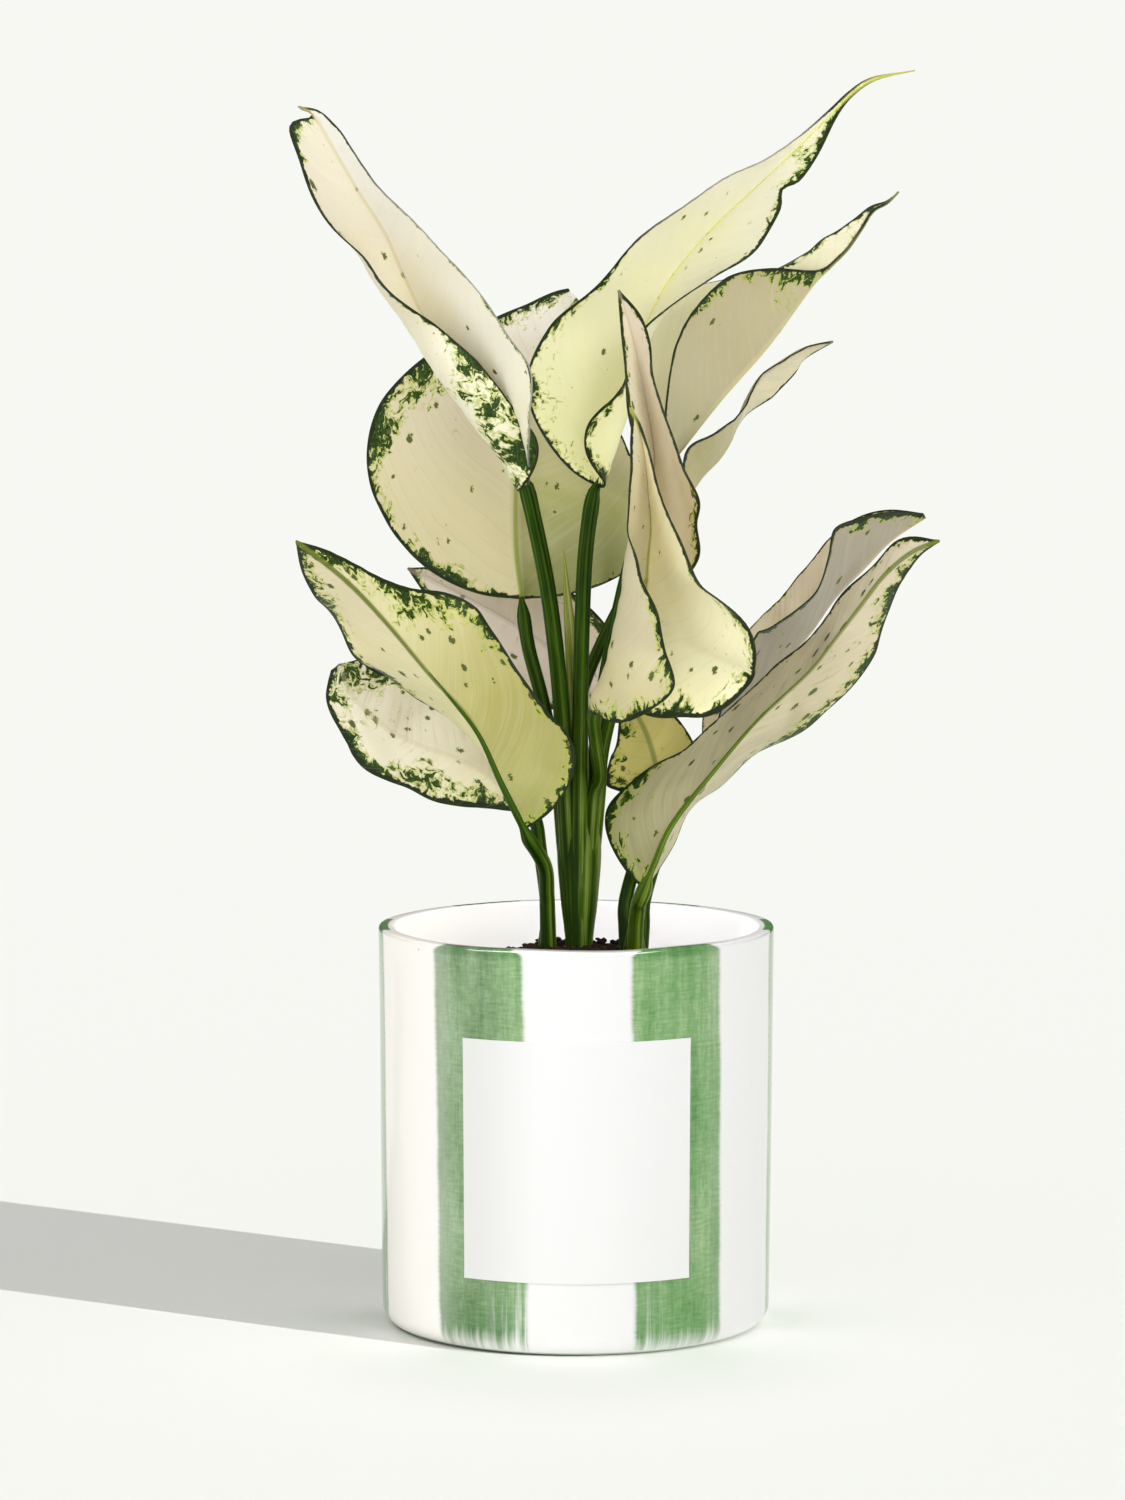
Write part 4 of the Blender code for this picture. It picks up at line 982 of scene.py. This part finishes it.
        "rib": 0.5, "seed": 19.7, "flecks": 0.9, "wave": 0.7, "streak": "8f8262", "streakShow": 0.3,
        "ribColour": "a8a070", "ribShow": 0.4, "radius": 2.4,
        "spine": [(47, 26, 195), (55, 28, 206), (64, 30, 217), (73, 33, 227), (83, 35, 239), (91, 37, 250),
                  (101, 39, 260), (111, 41, 270), (123, 42, 278)],
        "petiole": [(20, -3, 112), (22, -2, 126), (23, -1.2, 138.3), (23.6, 0, 148), (29, 8, 164),
                    (38, 18, 180)],
        "left": {
            "width": [24, 28, 32, 35, 36, 32, 31.5, 32, 31.5, 28.5, 21, 13, 2],
            "angle": [70, 68, 64, 60, 56, 60, 66, 68, 58, 45, 42, 40, 35], "curl": [10],
            "tint": ["9a927a", "9f9784", "aba28f"], "green": [1, 1, 3, 3, 3, 5, 5],
            "line": [1.8, 1.8, 2, 2, 2.2]},
        "right": {
            "width": [16, 20, 24, 26, 26, 25.5, 24, 21.5, 20, 21.5, 20, 12, 2],
            "angle": [-120, -122, -125, -128, -132, -135, -140], "tint": ["ead9b8", "efdfc4", "eee0ca"],
            "green": [1, 1, 1, 1, 1, 1], "line": [0.6, 0.6, 0.8, 1.2]}},
    "folded_front": {
        "rib": 0.5, "seed": 21.4, "flecks": 0.7, "wave": 0.5, "streak": "d9cf94", "ribColour": "a9ab45",
        "ribShow": 0.85, "reach": 0.18, "radius": 2.4,
        "spine": [(7, -32, 218), (9, -34, 224), (13, -37, 230), (17, -40, 238), (20, -44, 248),
                  (23, -48, 259), (24, -51, 270), (25, -54, 281), (24, -57, 293), (23, -60, 304),
                  (21, -63, 314), (18, -65, 321)],
        "petiole": [(1, 0, 112), (2.6, -1.8, 140), (4.6, -3.8, 165), (5.8, -4.8, 184.3), (8, -9.5, 192),
                    (6.5, -20, 205)],
        "left": {
            "width": [30, 31, 40, 48, 41, 38, 33.5, 28, 24, 17.5, 10, 5, 0],
            "angle": [50, 48, 43, 35, 27, 25, 28, 32, 45, 55, 53, 39, 20],
            "curl": [150, 150, 158, 183, 182, 158, 124, 96, 50, 25, 4, 0, 0],
            "tint": ["c4bc90", "c4bb9a", "cac1a2", "cdc3a2"], "green": [4.5, 3.5, 2.5, 1.5, 1, 1, 1],
            "line": [1.4, 1.3, 1.2, 1.2]},
        "right": {
            "width": [16, 20, 35, 43, 45, 45, 35, 29, 21, 15, 8, 2.5, 0],
            "angle": [0, 5, 9, 12, 20, 32, 50, 62, 70, 73, 75, 70, 50],
            "tint": ["fff9c4", "fff8cf", "fbf1c9", "f2e5c2"], "green": [5, 5, 5, 3.5, 2, 1, 1],
            "line": [1.8, 1.8, 1.6, 1.3]}},
    "small_low": {
        "rib": 0.7, "seed": 23.5, "flecks": 1, "wave": 0.4, "streak": "8f8440", "ribColour": "7f8a38",
        "ribShow": 0.7, "radius": 2.4,
        "spine": [(29, 12, 183), (28, 19, 192), (25, 28, 202), (21, 35, 210), (18, 40, 217)],
        "petiole": [(19, -3, 112), (18, -2, 126), (17, -1.2, 138.3), (17.2, 0, 148), (22, 5, 164)],
        "left": {
            "width": [14, 19, 16, 9, 0], "angle": [-14], "tint": ["ded480", "d6cc7c"],
            "green": [8, 8, 6, 4], "line": [1.6]},
        "right": {
            "width": [12, 15, 14, 9, 0], "angle": [-10], "tint": ["dacf7e", "d4c97a"],
            "green": [3, 2, 2, 2], "line": [1.2]}},
}

for leafName, leaf in leaves.items():
    makeLeaf(leafName, leaf)
    print("leaf", leafName, "ready")

# rolled new leaf and the sheathed shoots; paths and radii in millimetres
shoots = {
    "rolled_new_leaf": {
        "node": "new_leaf", "slotName": "new_growth", "skin": "bud", "steps": 70,
        "path": [(1, 0, 150), (1, 0, 184.3), (0.5, 0, 210), (-2, 0, 240), (-4.5, 0, 269)],
        "radii": [4, 3.6, 3.2, 2.2, 0.3]},
    "shoot_core": {
        "node": "shoot_center", "skin": "sheath", "steps": 50, "sides": 28,
        "path": [(1, 0, 112), (1, 0, 140), (1, 0, 165), (1, 0, 186)], "radii": [5, 4.6, 6.6, 7.6, 4.5]},
    "left_shoot_core": {
        "node": "shoot_left", "skin": "sheath", "steps": 30, "sides": 20,
        "path": [(-9, 1, 112), (-10, 0, 128), (-10, 0, 146)], "radii": [4, 3.6, 1.5]},
    "right_shoot_core": {
        "node": "shoot_right", "skin": "sheath", "steps": 30, "sides": 20,
        "path": [(19, -3, 112), (20, -4, 126), (20.3, -4, 141)], "radii": [5, 4.6, 2]},
}
for shootName, shoot in shoots.items():
    makeStalk(shootName, **shoot)
print("shoots ready")


# soil; lengths in millimetres: the mound's profile is (radius, height), a bump of its surface (turns to a
# millimetre, height), a crumb's shape its share of the size along, across and up, and its lumps are (how
# close, how deep); shades are what grain and lumps add to the hue
soil = {"sides": 96, "rings": 40, "foot": 80, "grain": 1.4, "lump": 6.0, "rough": (0.35, 0.9),
        "roll": (0.12, 1.2), "highest": 0.9, "settled": 0.6, "crumbs": 260, "crumbSize": (0.9, 3.4),
        "crumbShape": (1.25, 0.9, 0.75), "crumbLump": (0.8, 0.45), "crumbRise": 0.12, "spread": 50,
        "shades": (0.7, 0.4), "hues": ((0.3, "140d0a"), (0.55, "2a1b14"), (0.8, "59402f")),
        "profile": [(0, 132.8), (14, 132), (24, 129.4), (32, 122.6), (40, 116.2), (49, 111.4), (53, 109.8)]}


def soilHeight(x, y):
    radius = math.hypot(x, y)
    for (r0, h0), (r1, h1) in zip(soil["profile"], soil["profile"][1:]):
        if radius <= r1:
            f = (radius - r0) / (r1 - r0)
            return mix(h0, h1, f * f * (3 - 2 * f))
    return soil["profile"][-1][1]


def makePeat():
    # moist peat mix: dark, crumbly and matt
    material, add = newMaterial("moist crumbly peat", {"Roughness": 0.95, "Specular IOR Level": 0.2})
    place = add("TexCoord", out="Object")
    grain = add("TexNoise", {"Vector": place, "Scale": 1 / mm / soil["grain"], "Detail": 4.0,
                             "Roughness": 0.65})
    lumps = add("TexNoise", {"Vector": place, "Scale": 1 / mm / soil["lump"], "Detail": 2.0})
    shade = add("Math MULTIPLY", (lumps, soil["shades"][1]))
    shade = add("Math MULTIPLY_ADD", (grain, soil["shades"][0], shade))
    colour = add("ValToRGB", (shade,), stops=soil["hues"])
    feedShader(material, colour, grain, strength=0.6, depth=0.6)
    return material


def makeMound(peat):
    radius = soil["profile"][-1][0]
    piece = startPiece("peat_mound", bpy.ops.mesh.primitive_cylinder_add, vertices=soil["sides"],
                       radius=radius * mm, depth=1, end_fill_type="NGON")
    selectTop(piece)
    for k in range(soil["rings"]):
        bpy.ops.mesh.inset(thickness=radius * mm / (soil["rings"] + 0.5))
    bpy.ops.object.mode_set(mode="OBJECT")
    (fine, rough), (broad, roll) = soil["rough"], soil["roll"]
    for v in piece.data.vertices:
        if v.co.z < 0:
            v.co.z = soil["foot"] * mm
            continue
        spot = Vector((v.co.x, v.co.y, 0)) / mm
        bump = noise.fractal(spot * fine, 0.7, 2.0, 4) * rough + noise.noise(spot * broad) * roll
        v.co.z = (soilHeight(spot.x, spot.y) + min(bump, soil["highest"]) - soil["settled"]) * mm
    finishPiece(piece, peat, "potting_soil", "soil", smoothAngle=70)


def makeCrumbs(peat):
    # one low ball, copied and squashed by noise, spread over the mound on a sunflower spiral
    piece = startPiece("peat_crumbs", bpy.ops.mesh.primitive_ico_sphere_add, subdivisions=1, radius=1)
    ball = [v.co.copy() for v in piece.data.vertices]
    sides = [tuple(face.vertices) for face in piece.data.polygons]
    goldenTurn = math.pi * (3 - math.sqrt(5))
    often, deepest = soil["crumbLump"]
    verts, faces = [], []
    for k in range(soil["crumbs"]):
        radius = soil["spread"] * math.sqrt((k + 0.5) / soil["crumbs"])
        x, y = radius * math.cos(k * goldenTurn), radius * math.sin(k * goldenTurn)
        jitter = noise.noise(Vector((x * 0.37, y * 0.41, k * 0.13)))
        size = mix(*soil["crumbSize"], clamp(0.4 + jitter))
        place = Vector((x, y, soilHeight(x, y) + size * soil["crumbRise"]))
        cos, sin = math.cos(3 * k * goldenTurn), math.sin(3 * k * goldenTurn)
        faces += [tuple(i + len(verts) for i in side) for side in sides]
        for corner in ball:
            lump = (1 + deepest * noise.noise(corner * size * often + Vector((k, 0, 0)))) * size * 0.5
            wide, deep, high = [c * share * lump for c, share in zip(corner, soil["crumbShape"])]
            verts.append((place + Vector((wide * cos - deep * sin, wide * sin + deep * cos, high))) * mm)
    piece.data.clear_geometry()
    piece.data.from_pydata(verts, [], faces)
    finishPiece(piece, peat, "potting_soil")


# nursery pot: its grain to a metre, and a span for how rough the grain makes it
nurseryPot = {"grain": 1200.0, "hues": ((0.3, "141414"), (0.7, "1f1f1e")), "rough": (0.2, 0.8, 0.42, 0.6)}


def dressNurseryPot():
    # injection moulded black polypropylene: dull, with a fine spark texture
    material, add = newMaterial("moulded black polypropylene", {"IOR": 1.49})
    place = add("TexCoord", out="Object")
    grain = add("TexNoise", {"Vector": place, "Scale": nurseryPot["grain"], "Detail": 2.0})
    colour = add("ValToRGB", (grain,), stops=nurseryPot["hues"])
    rough = add("MapRange", (grain, *nurseryPot["rough"]))
    feedShader(material, colour, grain, strength=0.3, depth=0.1, roughness=rough)
    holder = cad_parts["nursery_pot"]
    holder.data.materials.clear()
    holder.data.materials.append(material)


peat = makePeat()
makeMound(peat)
makeCrumbs(peat)
dressNurseryPot()
print("soil and nursery pot ready")
